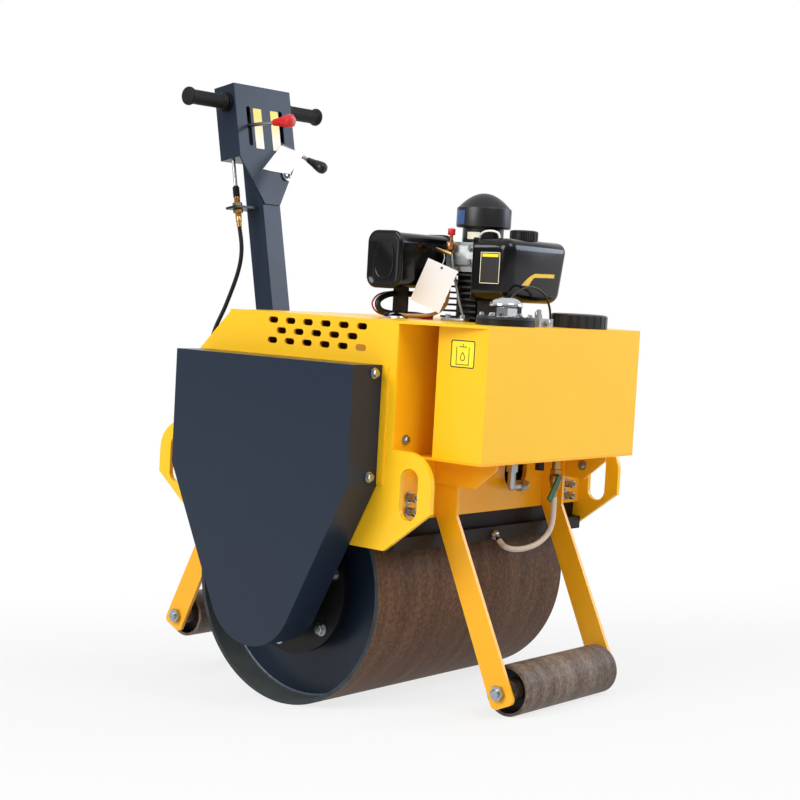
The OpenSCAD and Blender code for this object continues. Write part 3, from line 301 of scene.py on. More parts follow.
# Steel browned by heat: dark, with a brown cast
scorched_steel = surface("heat-browned steel", "#2C241F", "#191614", 25, 5, 0.08, (0.4, 0.6), Metallic=0.7)
# Cut edge of thick plate: dull grey, painted over in places
cut_edge = surface("cut steel edge", "#4B5258", "#30363B", 30, 5, 0.05, (0.35, 0.5), Metallic=0.8)
print("metals cast")

# %% [markdown]
# ## Plastics, rubber and card
# Caps and knobs are moulded, with a fine spark-eroded grain of well under a millimetre, drawn here at 3 mm.
# The hose is soft PVC, which lets a little light into its wall.

# %% Plastics and rubber
# Moulded black: deep, with a satin shine on its edges
black_abs = surface("moulded black ABS", "#0E0E10", "#141517", 40, 3, 0.05, (0.3, 0.42), IOR=1.45)
# The same plastic drawn greyer for the water cap: a painted reflection of the bright sky
sky_grey_abs = surface("black ABS, greyed for painted reflection", "#1D1C1C", "#252423", 40, 3, 0.05, (0.2, 0.3), IOR=1.46)
# Rubber: black and matt, so that only its ribs show
grip_rubber = surface("moulded black rubber", "#08080A", "#0D0D0E", 25, 3, 0.1, (0.5, 0.65), IOR=1.34)
# Red and green controls: strong colours with a smooth shine
red_plastic = surface("moulded red plastic", "#D42020", "#BC1717", 20, 6, 0.04, (0.25, 0.35), IOR=1.5)
green_vinyl = surface("dipped green vinyl", "#155A2B", "#104A22", 15, 5, 0.06, (0.3, 0.4), IOR=1.53)
# Hoses and wires: milky, amber and red, each smooth and slightly shiny
soft_pvc = surface("soft PVC hose", "#D8CFC3", "#C6B9A8", 30, 8, 0.04, (0.28, 0.4), IOR=1.53,
                   **{"Subsurface Weight": 0.25, "Subsurface Scale": 0.004})
amber_hose = surface("amber fuel hose", "#B98D55", "#A2763F", 20, 8, 0.04, (0.3, 0.42), IOR=1.5)
red_sheath = surface("red wire sheath", "#B5202C", "#9A1822", 20, 5, 0.03, (0.35, 0.45), IOR=1.5)
print("plastics moulded")

# %% [markdown]
# The strap is nylon, the hanging cards are plain matt board, and the bare stickers are printed vinyl: flat
# colours with a slight sheen.

# %% Nylon, board and vinyl
# Woven nylon: off-white and dull
white_nylon = surface("white nylon strap", "#ECECE8", "#DEDEDA", 20, 4, 0.03, (0.4, 0.5), IOR=1.53)
# Board: clean white without a highlight
white_board = surface("plain white board", "#F1F5FF", "#EDF2FC", 40, 3, 0.02, (0.75, 0.85), IOR=1.45)
# Vinyl: flat even colours under a thin clear film
label_yellow = surface("printed yellow vinyl", "#FFE92E", "#FCE32A", 40, 6, 0.02, (0.35, 0.45), IOR=1.5)
label_cream = surface("printed cream vinyl", "#F3EDCB", "#F6F3E2", 30, 6, 0.02, (0.35, 0.45), IOR=1.5)
label_black = surface("printed black ink", "#17171A", "#1F1F22", 30, 6, 0.02, (0.4, 0.5), IOR=1.5)
label_blue = surface("printed blue vinyl", "#2F568F", "#284B80", 20, 6, 0.02, (0.35, 0.45), IOR=1.5)
stripe_yellow = surface("printed gold vinyl", "#F7CA2A", "#F1C022", 30, 6, 0.02, (0.3, 0.4), IOR=1.5)
print("stickers printed")

# %% [markdown]
# ## Rolled steel
# The drum is bent from hot-rolled plate. Its outside carries thin brown rust over mill scale, drawn out into
# bands around the drum by turning and rolling. Noise squeezed along the axle and stretched across it gives
# the bands, and a finer round noise gives the rust's own mottling. Both ride with the drum, because they use
# the object's own space. Rust is rough and drinks the light, so its IOR is low.

# %% Rusted plate
def rusted_plate(name, hues, band_mm, spot_mm, rough):
    finish = bpy.data.materials.new(name)
    finish.use_nodes = True
    tree = finish.node_tree
    tree.nodes.clear()
    spot = add(tree, "ShaderNodeTexCoord").outputs["Object"]
    squeezed = add(tree, "ShaderNodeMapping", {"Vector": spot, "Scale": (3, 1000 / band_mm, 3)}).outputs[0]
    bands = add(tree, "ShaderNodeTexNoise", {"Vector": squeezed, "Scale": 1.0, "Detail": 4.0}).outputs["Fac"]
    spots = add(tree, "ShaderNodeTexNoise", {"Vector": spot, "Scale": 1000 / spot_mm, "Detail": 8.0,
                                             "Roughness": 0.65}).outputs["Fac"]
    both = add(tree, "ShaderNodeMath", {0: bands, 1: 0.6, 2: spots}, operation="MULTIPLY_ADD").outputs[0]
    rust = add(tree, "ShaderNodeMapRange", {"Value": both, "From Min": 0.58, "From Max": 1.02}).outputs[0]
    ramp = add(tree, "ShaderNodeValToRGB", {"Fac": rust})
    ramp.color_ramp.elements.new(0.5)
    for stop, place, hue in zip(ramp.color_ramp.elements, (0.05, 0.5, 0.95), hues):
        stop.position = place
        stop.color = linear(hue)
    sheen = add(tree, "ShaderNodeMapRange", {"Value": spots, "From Min": 0.3, "From Max": 0.7,
                                             "To Min": rough[0], "To Max": rough[1]}).outputs[0]
    skin = add(tree, "ShaderNodeBump", {"Height": both, "Distance": 0.0006}).outputs[0]
    shader = add(tree, "ShaderNodeBsdfPrincipled", {"Base Color": ramp.outputs[0], "Roughness": sheen,
                                                    "Normal": skin, "IOR": 1.35})
    add(tree, "ShaderNodeOutputMaterial", {"Surface": shader.outputs[0]})
    return finish

drum_rust = rusted_plate("rusted rolled plate", ("#412A1B", "#5C402B", "#76573F"), 26, 8, (0.55, 0.7))
tube_rust = rusted_plate("weathered steel tube", ("#4C4038", "#6A5A4E", "#887868"), 18, 7, (0.45, 0.6))
print("plate rolled")

# %% [markdown]
# ## Dressing the solids
# A solid that already has the right shape keeps it. It takes a finish, and a small bevel, because folded
# sheet, cut plate and castings all have an edge radius that catches a line of light. The bevel is a modifier,
# so the solid itself stays as it is.

# %% Finishes for the solids
def dress(finish, edge_mm, *nodes):
    for name in nodes:
        solid = frame["nodes"][name]
        solid.data.materials.clear()
        solid.data.materials.append(finish)
        if edge_mm:
            bevel = solid.modifiers.new("edge radius", "BEVEL")
            bevel.width = edge_mm / 1000
            bevel.segments = 2
            bevel.limit_method = "ANGLE"
            bevel.angle_limit = math.radians(50)
            bevel.harden_normals = True
    print(finish.name, "on", len(nodes), "solids")

dress(yellow_enamel, 1.5, "side_plates", "hood_sides", "deck", "cover_rails", "tank", "handle_bracket")
# Painted shade: parts that lie mostly in shade take the orange copy of the yellow
dress(shade_orange_enamel, 1.5, "cross_plates", "floor_plate", "hood_ends", "tank_bracket", "legs")
dress(slate_powder, 2, "covers", "column", "control_box")
dress(slate_powder, 0, "drum_bulkheads")
dress(black_enamel, 1.5, "hangers", "bearings", "engine_block", "fan_housing", "drum_hubs", "oil_flange")
# The scrapers include an upright black plate between the bar and the cross plate, where the drum's top lies
# in shade: painted shade
dress(soiled_black, 1.5, "scrapers")
dress(dark_iron, 1, "cylinder_barrel")
dress(cast_alloy, 4, "cylinder_head")
dress(cast_alloy, 2, "breather")
dress(scorched_steel, 0.8, "exhaust")
dress(zinc_plate, 0.8, "tank_fittings", "roller_axles", "fold_pin", "handlebar", "levers")
dress(zinc_plate, 0, "injector_pipe")
dress(green_vinyl, 1, "tap_lever")
dress(tube_rust, 1, "front_roller", "rear_roller")

# %% [markdown]
# The drum's shell has three finishes on one solid: rust outside, the coat inside, and a cut edge. Each face
# takes its finish from where it lies, which is simpler and sharper than mixing them in a shader.

# %% Three finishes on the shell
ALONG_AXLE = 0.9
shell = frame["nodes"]["drum_shell"]
shell.data.materials.clear()
for finish in (drum_rust, lit_drum_coat, cut_edge):
    shell.data.materials.append(finish)
for face in shell.data.polygons:
    if abs(face.normal.y) > ALONG_AXLE:
        face.material_index = 2
    elif face.normal.dot(face.center - joints["drum_spin"]) < 0:
        # Inside faces take the lighter slate: painted light
        face.material_index = 1
    else:
        face.material_index = 0
print("shell faces:", len(shell.data.polygons))

# %% [markdown]
# The small rollers are rusted outside and drawn black inside, as painted shade in the tube: a face is dark
# when it looks at the axle, or when it lies deeper in the tube than the rim.

# %% Painted shade inside the rollers
RIM_REACH = 0.14
for name in ("front_roller", "rear_roller"):
    roller = frame["nodes"][name]
    roller.data.materials.append(black_enamel)
    middle = joints[name + "_spin"]
    for face in roller.data.polygons:
        away = face.center - middle
        # A dark face here is painted shade inside the tube
        if face.normal.dot(away) < 0 or (abs(face.normal.y) > ALONG_AXLE and abs(away.y) < RIM_REACH):
            face.material_index = 1
    print(name, "has", sum(face.material_index for face in roller.data.polygons), "dark faces")

# %% [markdown]
# Two more solids have a second finish. The drain plug under the tank is black beside its bright pipe, and so
# are the two rubber collars on the handlebar. The plug is found by its place, the collars by their radius.

# %% Black plug and collars
PLUG_PLACE = LEVEL @ Vector((345, 33, 489.5))
PLUG_REACH = 0.03
BAR_X, BAR_Z = 7, 734
BAR_MIDDLE = HANDLE @ Vector((BAR_X, 0, BAR_Z))
OUTSIDE_BAR = 0.014
fittings = frame["nodes"]["tank_fittings"]
fittings.data.materials.append(black_enamel)
for face in fittings.data.polygons:
    face.material_index = int((face.center - PLUG_PLACE).length < PLUG_REACH)
bar = frame["nodes"]["handlebar"]
bar.data.materials.append(grip_rubber)
for face in bar.data.polygons:
    off = face.center - BAR_MIDDLE
    face.material_index = int(math.hypot(off.x, off.z) > OUTSIDE_BAR)
print("plug and collars are black")

# %% [markdown]
# ## Tools for modelled pieces
# Four ways of making a shape cover almost everything: turning a profile on a lathe, cutting an outline from
# sheet, sweeping a round bar along a route, and moving the result to its place. All draw in millimetres. The
# first tool is the lathe: every point of the profile becomes a ring, and a skin is laid from ring to ring and
# closed at both ends. An optional rule pushes the radius in and out around the turn.

# %% Lathe
def skin_rings(shape, rings):
    for low, high in zip(rings, rings[1:]):
        for i in range(len(low)):
            j = (i + 1) % len(low)
            shape.faces.new((low[i], low[j], high[j], high[i]))
    shape.faces.new(list(reversed(rings[0])))
    shape.faces.new(rings[-1])

def turned(profile, sides=48, radius=None):
    shape = bmesh.new()
    rings = []
    for r, z in profile:
        ring = []
        for i in range(sides):
            angle = 2 * math.pi * i / sides
            here = radius(r, angle, z) if radius else r
            ring.append(shape.verts.new((here * math.cos(angle), here * math.sin(angle), z)))
        rings.append(ring)
    skin_rings(shape, rings)
    return shape

print("turned() is ready")

# %% [markdown]
# Sheet is an outline with a thickness. Its rim can be rounded over, as the edge of a pressing is. Most
# outlines are rectangles with round corners, so those have a function too.

# %% Sheet
SHARP_EDGE = 0.6

def cut_sheet(outline, thick, edge=0.0, steps=2):
    shape = bmesh.new()
    low = [shape.verts.new((x, y, 0)) for x, y in outline]
    high = [shape.verts.new((x, y, thick)) for x, y in outline]
    skin_rings(shape, [low, high])
    bmesh.ops.recalc_face_normals(shape, faces=shape.faces)
    if edge:
        rim = [e for e in shape.edges if e.calc_face_angle(0) > SHARP_EDGE]
        bmesh.ops.bevel(shape, geom=rim, offset=edge, segments=steps, affect="EDGES", profile=0.5)
    return shape

def rounded_outline(width, height, r, steps=6):
    outline = []
    for cx, cy, start in ((width / 2 - r, height / 2 - r, 0), (r - width / 2, height / 2 - r, 90),
                          (r - width / 2, r - height / 2, 180), (width / 2 - r, r - height / 2, 270)):
        for i in range(steps + 1):
            angle = math.radians(start + 90 * i / steps)
            outline.append((cx + r * math.cos(angle), cy + r * math.sin(angle)))
    return outline

print("cut_sheet() is ready")

# %% [markdown]
# Hoses, cables and wires follow a smooth line through a few points. The sweep lays rings along that line and
# carries their direction from one to the next, so the tube doesn't twist. A ripple makes every second or
# third ring narrower.

# %% Round bar along a route
def smooth_route(points, steps):
    points = [Vector(p) for p in points]
    line = []
    for i in range(len(points) - 1):
        a, b = points[max(i - 1, 0)], points[i]
        c, d = points[i + 1], points[min(i + 2, len(points) - 1)]
        for k in range(steps):
            t = k / steps
            line.append(0.5 * (2 * b + (c - a) * t + (2 * a - 5 * b + 4 * c - d) * t * t
                               + (3 * b - a - 3 * c + d) * t ** 3))
    return line + [points[-1]]

def swept(line, d, sides=12, ripple=0.0, ripple_every=2):
    shape = bmesh.new()
    line = [Vector(p) for p in line]
    side = (line[1] - line[0]).orthogonal().normalized()
    turns = [2 * math.pi * k / sides for k in range(sides)]
    rings = []
    for i, p in enumerate(line):
        along = (line[min(i + 1, len(line) - 1)] - line[max(i - 1, 0)]).normalized()
        side = (side - along * side.dot(along)).normalized()
        other = along.cross(side)
        r = d / 2 - (ripple if i % ripple_every else 0.0)
        rings.append([shape.verts.new(p + r * (math.cos(turn) * side + math.sin(turn) * other))
                      for turn in turns])
    skin_rings(shape, rings)
    return shape

print("swept() is ready")

# %% [markdown]
# A shape is drawn standing on the origin. The first tool here turns its upright toward a direction and moves
# it to its place. The second joins the shapes of one piece, brings them to the scene and puts them on the
# body that they ride.

# %% Placing and joining
def put(shape, place, toward=(0, 0, 1), spin=0.0):
    upright = Vector(toward).to_track_quat("Z", "Y").to_matrix().to_4x4()
    turn = upright @ Matrix.Rotation(math.radians(spin), 4, "Z")
    shape.transform(Matrix.Translation(place) @ turn)
    return shape

def piece(name, shapes, finish, body="chassis", at=LEVEL, replaces=(), crease=40):
    whole = bmesh.new()
    for shape in shapes:
        part = bpy.data.meshes.new("part")
        shape.to_mesh(part)
        whole.from_mesh(part)
        shape.free()
        bpy.data.meshes.remove(part)
    whole.transform(at)
    mesh = bpy.data.meshes.new(name)
    whole.to_mesh(mesh)
    whole.free()
    mesh.materials.append(finish)
    mesh.shade_smooth()
    mesh.set_sharp_from_angle(angle=math.radians(crease))
    obj = bpy.data.objects.new(name, mesh)
    scene.collection.objects.link(obj)
    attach(obj, body)
    if replaces:
        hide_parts(*replaces)
    print(name, len(mesh.polygons), "faces on", body)
    return obj

# %% [markdown]
# ## Hoses and cables
# A hose is a round section along a line. A Blender curve is the natural way to make it: its line is the
# hose's middle, and its length can be read off.

# %% A hose
def hose_curve(name, line, d, finish, body="chassis"):
    data = bpy.data.curves.new(name, "CURVE")
    data.dimensions = "3D"
    data.bevel_depth = d / 2000
    data.bevel_resolution = 4
    data.use_fill_caps = True
    spline = data.splines.new("POLY")
    spline.points.add(len(line) - 1)
    for point, p in zip(spline.points, line):
        point.co = (*(LEVEL @ Vector(p)), 1)
    data.materials.append(finish)
    obj = bpy.data.objects.new(name, data)
    scene.collection.objects.link(obj)
    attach(obj, body)
    return obj

def line_length(line):
    return sum((Vector(a) - Vector(b)).length for a, b in zip(line, line[1:])) / 1000

print("hose_curve() is ready")

# %% [markdown]
# The water hose hangs from the tap and loops back to the nozzle on the scraper bar. Its route repeats the
# solid's own points, and the length of its line is printed.

# %% Water hose
def hang(name, points, d, finish, steps=6):
    line = smooth_route(points, steps)
    obj = hose_curve(name, line, d, finish)
    print(name, round(line_length(line), 3), "m long")
    return obj

hose = hang("hose_to_nozzle", [(345, 90, 420.7), (345, 90, 409.7), (344.4, 90, 375.8), (341.9, 82.8, 350.3),
                               (335.6, 62.1, 331), (324.8, 35.1, 320.4), (312.2, 11.7, 317.8),
                               (300.3, -0.9, 321.3), (290.4, 0, 325.7), (282, 0, 332.7)],
            11, soft_pvc)
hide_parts("water_hose")

# %% [markdown]
# The control cable runs from its brass fitting on the handle down to the rear plate, across the handle's
# fold. It is a mesh tube, swept along that route.

# %% Control cable
CABLE_D = 9
ROD_Y = -75

def handle_point(x, y, z):
    return LEVEL.inverted() @ (HANDLE @ Vector((x, y, z)))

cable_line = smooth_route([handle_point(0, ROD_Y, 463.1), handle_point(0, ROD_Y, 413.9),
                           (-393, -79.1, 826.4), (-407.4, -96, 755.4), (-424.8, -108, 702.1),
                           (-433.5, -112.1, 653.2), (-420.4, -114, 599.9), (-375.6, -115.5, 555.5),
                           (-317.7, -113.6, 506.6), (-280.1, -112.5, 484.4), (-254, -112.5, 480)], 8)
cable = bpy.data.objects.new("cable_to_drive", bpy.data.meshes.new("cable_to_drive"))
tube = swept(cable_line, CABLE_D, 12)
tube.transform(LEVEL)
tube.to_mesh(cable.data)
tube.free()
cable.data.materials.append(grip_rubber)
cable.data.shade_smooth()
scene.collection.objects.link(cable)
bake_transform(cable)
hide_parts("control_cable")
print("cable", round(line_length(cable_line), 3), "m long")

# %% [markdown]
# Around the engine run a black wire conduit, a red wire, an amber fuel hose and a thin vent hose to the tank
# top. They are held at both ends and lie on the deck, so each is one short hanging run.

# %% Wires and small hoses
hang("wire_conduit", [(85, -20, 800), (66, -60, 802), (58, -105, 800), (57, -138, 786), (62, -136, 768),
                      (72, -104, 761.5), (90, -62, 761.5), (118, -40, 757)], 12, black_abs)
hang("red_wire", [(88, -28, 806), (60, -76, 806), (50, -124, 800), (50, -148, 782), (56, -140, 764),
                  (68, -112, 757), (92, -76, 757), (120, -44, 756)], 3.5, red_sheath)
hang("amber_fuel_hose", [(147, -32, 836), (149, -35, 808), (147, -42, 782), (134, -62, 765), (112, -92, 761),
                         (92, -112, 761), (74, -84, 761)], 7, amber_hose)
hang("vent_hose", [(318, -84, 766), (322, -76, 792), (325, -56, 814), (326, -20, 828), (326, 14, 826),
                   (326, 44, 813), (326, 62, 788), (326, 67, 757)], 4.5, black_abs)

# %% [markdown]
# ## Bolts
# A hexagon bolt head is a six-sided turning with its corners chamfered, on a round washer. Where the thread
# stands out, a stud and a second nut are added.

# %% A bolt
def bolt(across, head, stud=0.0):
    corner = across / 2 / math.cos(math.pi / 6)
    shapes = [turned([(across * 0.78, 0), (across * 0.8, 0.8), (across * 0.78, 2.2)], 32),
              turned([(corner, 2.2), (corner, head + 1), (corner * 0.86, head + 2.2)], 6)]
    if stud:
        tip = head + stud
        shapes.append(turned([(across * 0.3, head), (across * 0.3, tip), (across * 0.22, tip + 1.5)], 20))
        shapes.append(turned([(corner, head + stud * 0.3), (corner, head + stud * 0.75)], 6))
    return shapes

print("a bolt has", len(bolt(13, 7)), "shapes")

# %% [markdown]
# Bolts hold the drive covers at their four corners, the scraper bars on the cross plates, where the threads
# stand out, and the hood's ends. A gap of a fifth of a millimetre keeps a washer off the face under it. All
# bolts of one body are joined into one piece.

# %% Bolts on the covers and plates
GAP = 0.2
RAIL_INSET, RAIL_TOP, RAIL_FOOT = 7, 11, 13
SCRAPER_BOLTS = ((-261, 404), (-261, 430), (258, 404), (258, 428))
HOOD_BOLT_Y, HOOD_BOLT_RISE = 280, 17
rail_low, rail_high = drawn_box("cover_rails")
cover_end = drawn_box("covers")[1].x + GAP
plate_face = drawn_box("cross_plates")[1].x + GAP
hood_bolt_z = drawn_box("hood_ends")[0].z + HOOD_BOLT_RISE
rail_bolt_y = rail_high.y - RAIL_INSET
frame_bolts = []
for x in (cover_end, -cover_end):
    for y in (-rail_bolt_y, rail_bolt_y):
        for z in (rail_high.z - RAIL_TOP, rail_low.z + RAIL_FOOT):
            frame_bolts += [put(s, (x, y, z), (x, 0, 0), 12) for s in bolt(13, 7)]
for y, z in SCRAPER_BOLTS:
    frame_bolts += [put(s, (plate_face, y, z), (1, 0, 0), 20) for s in bolt(14, 8, 16)]
    frame_bolts += [put(s, (-plate_face, -y, z), (-1, 0, 0), 20) for s in bolt(14, 8, 16)]
for y in (-HOOD_BOLT_Y, HOOD_BOLT_Y):
    frame_bolts += [put(s, (plate_face, y, hood_bolt_z), (1, 0, 0), 5) for s in bolt(12, 6)]
    frame_bolts += [put(s, (-plate_face, y, hood_bolt_z), (-1, 0, 0), 5) for s in bolt(12, 6)]
print(len(frame_bolts), "shapes of bolts so far")

# %% [markdown]
# The guide rollers' axles end in round caps, two bolts hold the tank's bracket from inside, and the water
# nozzle is a hexagon on the slanted scraper bar.

# %% Axle caps, bracket bolts and nozzle
NOZZLE_PLACE = (267.6, 0, 344.8)
NOZZLE_SLANT = math.radians(40)
BRACKET_BOLT_X, BRACKET_BOLT_Y, BRACKET_BOLT_Z = 348, 179.8, 479
axle_low, axle_high = drawn_box("roller_axles")
axle_r = (axle_high.z - axle_low.z) / 2
axle_x = axle_high.x - axle_r
for x in (axle_x, -axle_x):
    for y in (axle_low.y, axle_high.y):
        axle_cap = turned([(8, 0), (8, 4), (6.5, 5.5)], 24)
        frame_bolts.append(put(axle_cap, (x, y, axle_low.z + axle_r), (0, y, 0)))
for y in (-BRACKET_BOLT_Y, BRACKET_BOLT_Y):
    place = (BRACKET_BOLT_X, y, BRACKET_BOLT_Z)
    frame_bolts += [put(s, place, (0, -y, 0)) for s in bolt(12, 6)]
nozzle = turned([(8.6, 0), (9.2, 1), (9.2, 7), (8.6, 8), (6.4, 8), (6.4, 12)], 6)
put(nozzle, NOZZLE_PLACE, (math.cos(NOZZLE_SLANT), 0, -math.sin(NOZZLE_SLANT)))
piece("frame_bolts", frame_bolts + [nozzle], zinc_plate)

# %% [markdown]
# Inside each end of the drum, six bolts hold the hub flange, and a weld bead runs around where the bulkhead
# meets the shell. The bead is a ring whose thickness rises and falls, as a hand weld does. Both turn with the
# drum.

# %% Hub bolts and weld beads
BOLT_CIRCLE, FLANGE_FACE, FIRST_BOLT = 113, 284.2, 17.5
BEAD_R, BEAD_Y, BEAD_STEPS = 223.4, 238.6, 240
hub_bolts = []
for side in (-1, 1):
    for k in range(6):
        a = math.radians(FIRST_BOLT + 60 * k)
        place = (BOLT_CIRCLE * math.cos(a), side * FLANGE_FACE, DRUM_R + BOLT_CIRCLE * math.sin(a))
        hub_bolts += [put(s, place, (0, side, 0), 25 * k) for s in bolt(17, 9)]
piece("hub_bolts", hub_bolts, zinc_plate, "drum")

beads = []
for side in (-1, 1):
    turns = [2 * math.pi * i / BEAD_STEPS for i in range(BEAD_STEPS + 1)]
    ring = [(BEAD_R * math.cos(a), side * BEAD_Y, DRUM_R + BEAD_R * math.sin(a)) for a in turns]
    beads.append(swept(ring, 8, 10, 0.7, 3))
# Slate paint over the bead: lighter than the drum's coat, because its ridges catch the light
weld_coat = surface("painted weld bead", "#5B6572", "#49525E", 30, 6, 0.1, (0.3, 0.45), IOR=1.5)
piece("weld_beads", beads, weld_coat, "drum")

# %% [markdown]
# ## Engine
# The muffler is a rounded box rolled from sheet, with a pressed cap at each end. A row of rounded sections,
# each with its own inset, makes the can, the rolled rims and the sunk end faces in one skin. A shallow oval
# is pressed into each end.

# %% Muffler
def loft_box(sections, width, height, r):
    shape = bmesh.new()
    rings = []
    for depth, inset in sections:
        outline = rounded_outline(width - 2 * inset, height - 2 * inset, max(r - inset, 1.0), 7)
        rings.append([shape.verts.new((x, y, depth)) for x, y in outline])
    skin_rings(shape, rings)
    bmesh.ops.recalc_face_normals(shape, faces=shape.faces)
    return shape

def bulged(value):
    return math.copysign(abs(value) ** 0.75, value)

muffler = drawn_box("muffler")
can_w, can_l, can_h = muffler[1] - muffler[0]
end = [(3.0, 14), (1.6, 10), (0.4, 6.5), (0, 4.5), (0.5, 2), (2, 0.5), (4, 0), (7.6, 0), (8.4, 0.6), (8.8, 3)]
other_end = [(can_l - depth, inset) for depth, inset in reversed(end)]
can = loft_box(end + [(60, 3), (can_l - 60, 3)] + other_end, can_w, can_h, 24)
turns = [2 * math.pi * i / 72 for i in range(73)]
oval = [(23 * bulged(math.cos(a)), 36 * bulged(math.sin(a))) for a in turns]
pressing = [swept([(x, y, z) for x, y in oval], 2.6, 8) for z in (2.9, can_l - 2.9)]
can_end = (middle_of(muffler).x, muffler[0].y, middle_of(muffler).z)
piece("muffler_can", [put(s, can_end, (0, 1, 0), 180) for s in [can] + pressing], stoved_black,
      replaces=("muffler",))

# %% [markdown]
# The fuel tank is pressed from two halves, so every edge is rolled over: tightly at the back, where it meets
# the engine, and widely in front. The hull of its eight corners, bevelled twice, gives that body. Its left
# side leans out toward the top.

# %% Fuel tank
CLEAR_OF_BACK = 20

def hull_block(corners, edge, steps, tight_x, tight):
    shape = bmesh.new()
    for c in corners:
        shape.verts.new(c)
    bmesh.ops.convex_hull(shape, input=shape.verts)
    bmesh.ops.dissolve_limit(shape, angle_limit=0.02, verts=shape.verts, edges=shape.edges)
    bmesh.ops.recalc_face_normals(shape, faces=shape.faces)
    back = [e for e in shape.edges if all(v.co.x < tight_x for v in e.verts)]
    bmesh.ops.bevel(shape, geom=back, offset=tight, segments=4, affect="EDGES", profile=0.5)
    sharp = [e for e in shape.edges if e.calc_face_angle(0) > SHARP_EDGE]
    rest = [e for e in sharp if max(v.co.x for v in e.verts) > tight_x + CLEAR_OF_BACK]
    bmesh.ops.bevel(shape, geom=rest, offset=edge, segments=steps, affect="EDGES", profile=0.5)
    return shape

LOW_LEFT = 127
fuel_low, fuel_high = drawn_box("fuel_tank")
end_corners = ((fuel_low.y, fuel_low.z), (LOW_LEFT, fuel_low.z), (fuel_high.y, fuel_high.z),
               (fuel_low.y, fuel_high.z))
tank_corners = [(x, y, z) for x in (fuel_low.x, fuel_high.x) for y, z in end_corners]
fuel_body = hull_block(tank_corners, 22, 8, fuel_low.x + 5, 7)
piece("fuel_tank_body", [fuel_body], stoved_black, replaces=("fuel_tank",))

# %% [markdown]
# On the tank's right side is a bare rating plate: thin sheet with a plain border of four strips and a yellow
# band. Real strips keep a sharp edge at any distance, which a painted pattern would not.

# %% Rating plate
PLATE_X, PLATE_Z, PLATE_W, PLATE_H, BORDER = 262, 861, 46, 60, 1.2
face_y = fuel_low.y - 0.1
print_y = fuel_low.y - 0.65
rating = cut_sheet(rounded_outline(PLATE_W, PLATE_H, 2), 0.6)
piece("rating_plate", [put(rating, (PLATE_X, face_y, PLATE_Z), (0, -1, 0))], label_black)
half_w = (PLATE_W - BORDER) / 2
half_h = (PLATE_H - BORDER) / 2
border = []
for w, h, x, z in ((PLATE_W, BORDER, 0, half_h), (PLATE_W, BORDER, 0, -half_h),
                   (BORDER, PLATE_H, -half_w, 0), (BORDER, PLATE_H, half_w, 0)):
    line = cut_sheet(rounded_outline(w, h, BORDER / 2, 2), 0.4)
    border.append(put(line, (PLATE_X + x, print_y, PLATE_Z + z), (0, -1, 0)))
piece("rating_plate_border", border, label_cream)
band = cut_sheet(rounded_outline(38, 6, 1), 0.4)
piece("rating_plate_band", [put(band, (PLATE_X, print_y, PLATE_Z + 24), (0, -1, 0))], label_yellow)

# %% [markdown]
# The tank's front carries a plain swept stripe. Its lower edge rises along a quarter of a sine wave and then
# runs level, and the stripe grows from a point, so its outline is worked out and cut from thin sheet.

# %% Stripe on the fuel tank
STRIPE_Y, STRIPE_Z, STRIPE_RUN, STRIPE_RISE, STRIPE_STEPS = -12, 831, 46, 17, 12
shares = [i / STRIPE_STEPS for i in range(STRIPE_STEPS + 1)]
sweep_low = [(STRIPE_Y + STRIPE_RUN * t, STRIPE_Z + STRIPE_RISE * math.sin(t * math.pi / 2)) for t in shares]
outline = [(y + 24 * (1 - t), z - 0.6) for t, (y, z) in zip(shares, sweep_low)]
outline += [(97, 848.6), (98, 856)]
outline += [(y, z + 7 * t) for t, (y, z) in reversed(list(zip(shares, sweep_low)))]
stripe = cut_sheet(outline, 0.5)
stripe.transform(Matrix(((0, 0, 1, fuel_high.x + 0.05), (1, 0, 0, 0), (0, 1, 0, 0), (0, 0, 0, 1))))
piece("tank_stripe", [stripe], stripe_yellow)

# %% [markdown]
# The air cleaner is a drum with a domed hat, moulded in black plastic. It is a lathe piece: foot, drum with
# rounded rims, a ledge, then the dome.

# %% Air cleaner
cleaner_box = drawn_box("air_cleaner")
cleaner_middle = middle_of(cleaner_box)
cleaner_z = cleaner_box[0].z
cleaner_r = cleaner_middle.x - cleaner_box[0].x
CLEANER_FOOT_R = 41
DOME_Z, DOME_RISE, DOME_STEPS = 70.5, 29, 12
lower = [(CLEANER_FOOT_R - 2, 0), (CLEANER_FOOT_R, 2), (CLEANER_FOOT_R, 28), (CLEANER_FOOT_R + 1.5, 30)]
upper = [(cleaner_r - 2, 30), (cleaner_r, 32.5), (cleaner_r, 67), (cleaner_r - 0.9, 69.4),
         (cleaner_r - 2.1, 70.3)]
dome = []
for i in range(DOME_STEPS + 1):
    inward = 1 - i / DOME_STEPS
    dome.append((max((cleaner_r - 3) * inward, 0.2), DOME_Z + DOME_RISE * (1 - inward ** 2)))
cleaner = put(turned(lower + upper + dome, 64), (cleaner_middle.x, cleaner_middle.y, cleaner_z))
piece("air_cleaner_drum", [cleaner], black_abs, replaces=("air_cleaner",), crease=30)

# %% [markdown]
# Two bare stickers curve around the air cleaner. Each is a thin strip bent to the drum's radius, from one
# angle to another.

# %% Stickers on the air cleaner
def curved_sticker(r, low, high, middle, half, steps=8):
    shape = bmesh.new()
    columns = []
    for i in range(steps + 1):
        a = math.radians(middle - half + 2 * half * i / steps)
        column = []
        for q, z in ((r, low), (r + 0.4, low), (r + 0.4, high), (r, high)):
            place = (cleaner_middle.x + q * math.cos(a), cleaner_middle.y + q * math.sin(a), cleaner_z + z)
            column.append(shape.verts.new(place))
        columns.append(column)
    skin_rings(shape, columns)
    bmesh.ops.recalc_face_normals(shape, faces=shape.faces)
    return shape

piece("cleaner_sticker", [curved_sticker(cleaner_r, 35, 63, 245.5, 17)], label_blue)
piece("foot_sticker", [curved_sticker(CLEANER_FOOT_R, 7, 21, 279, 20)], label_cream)

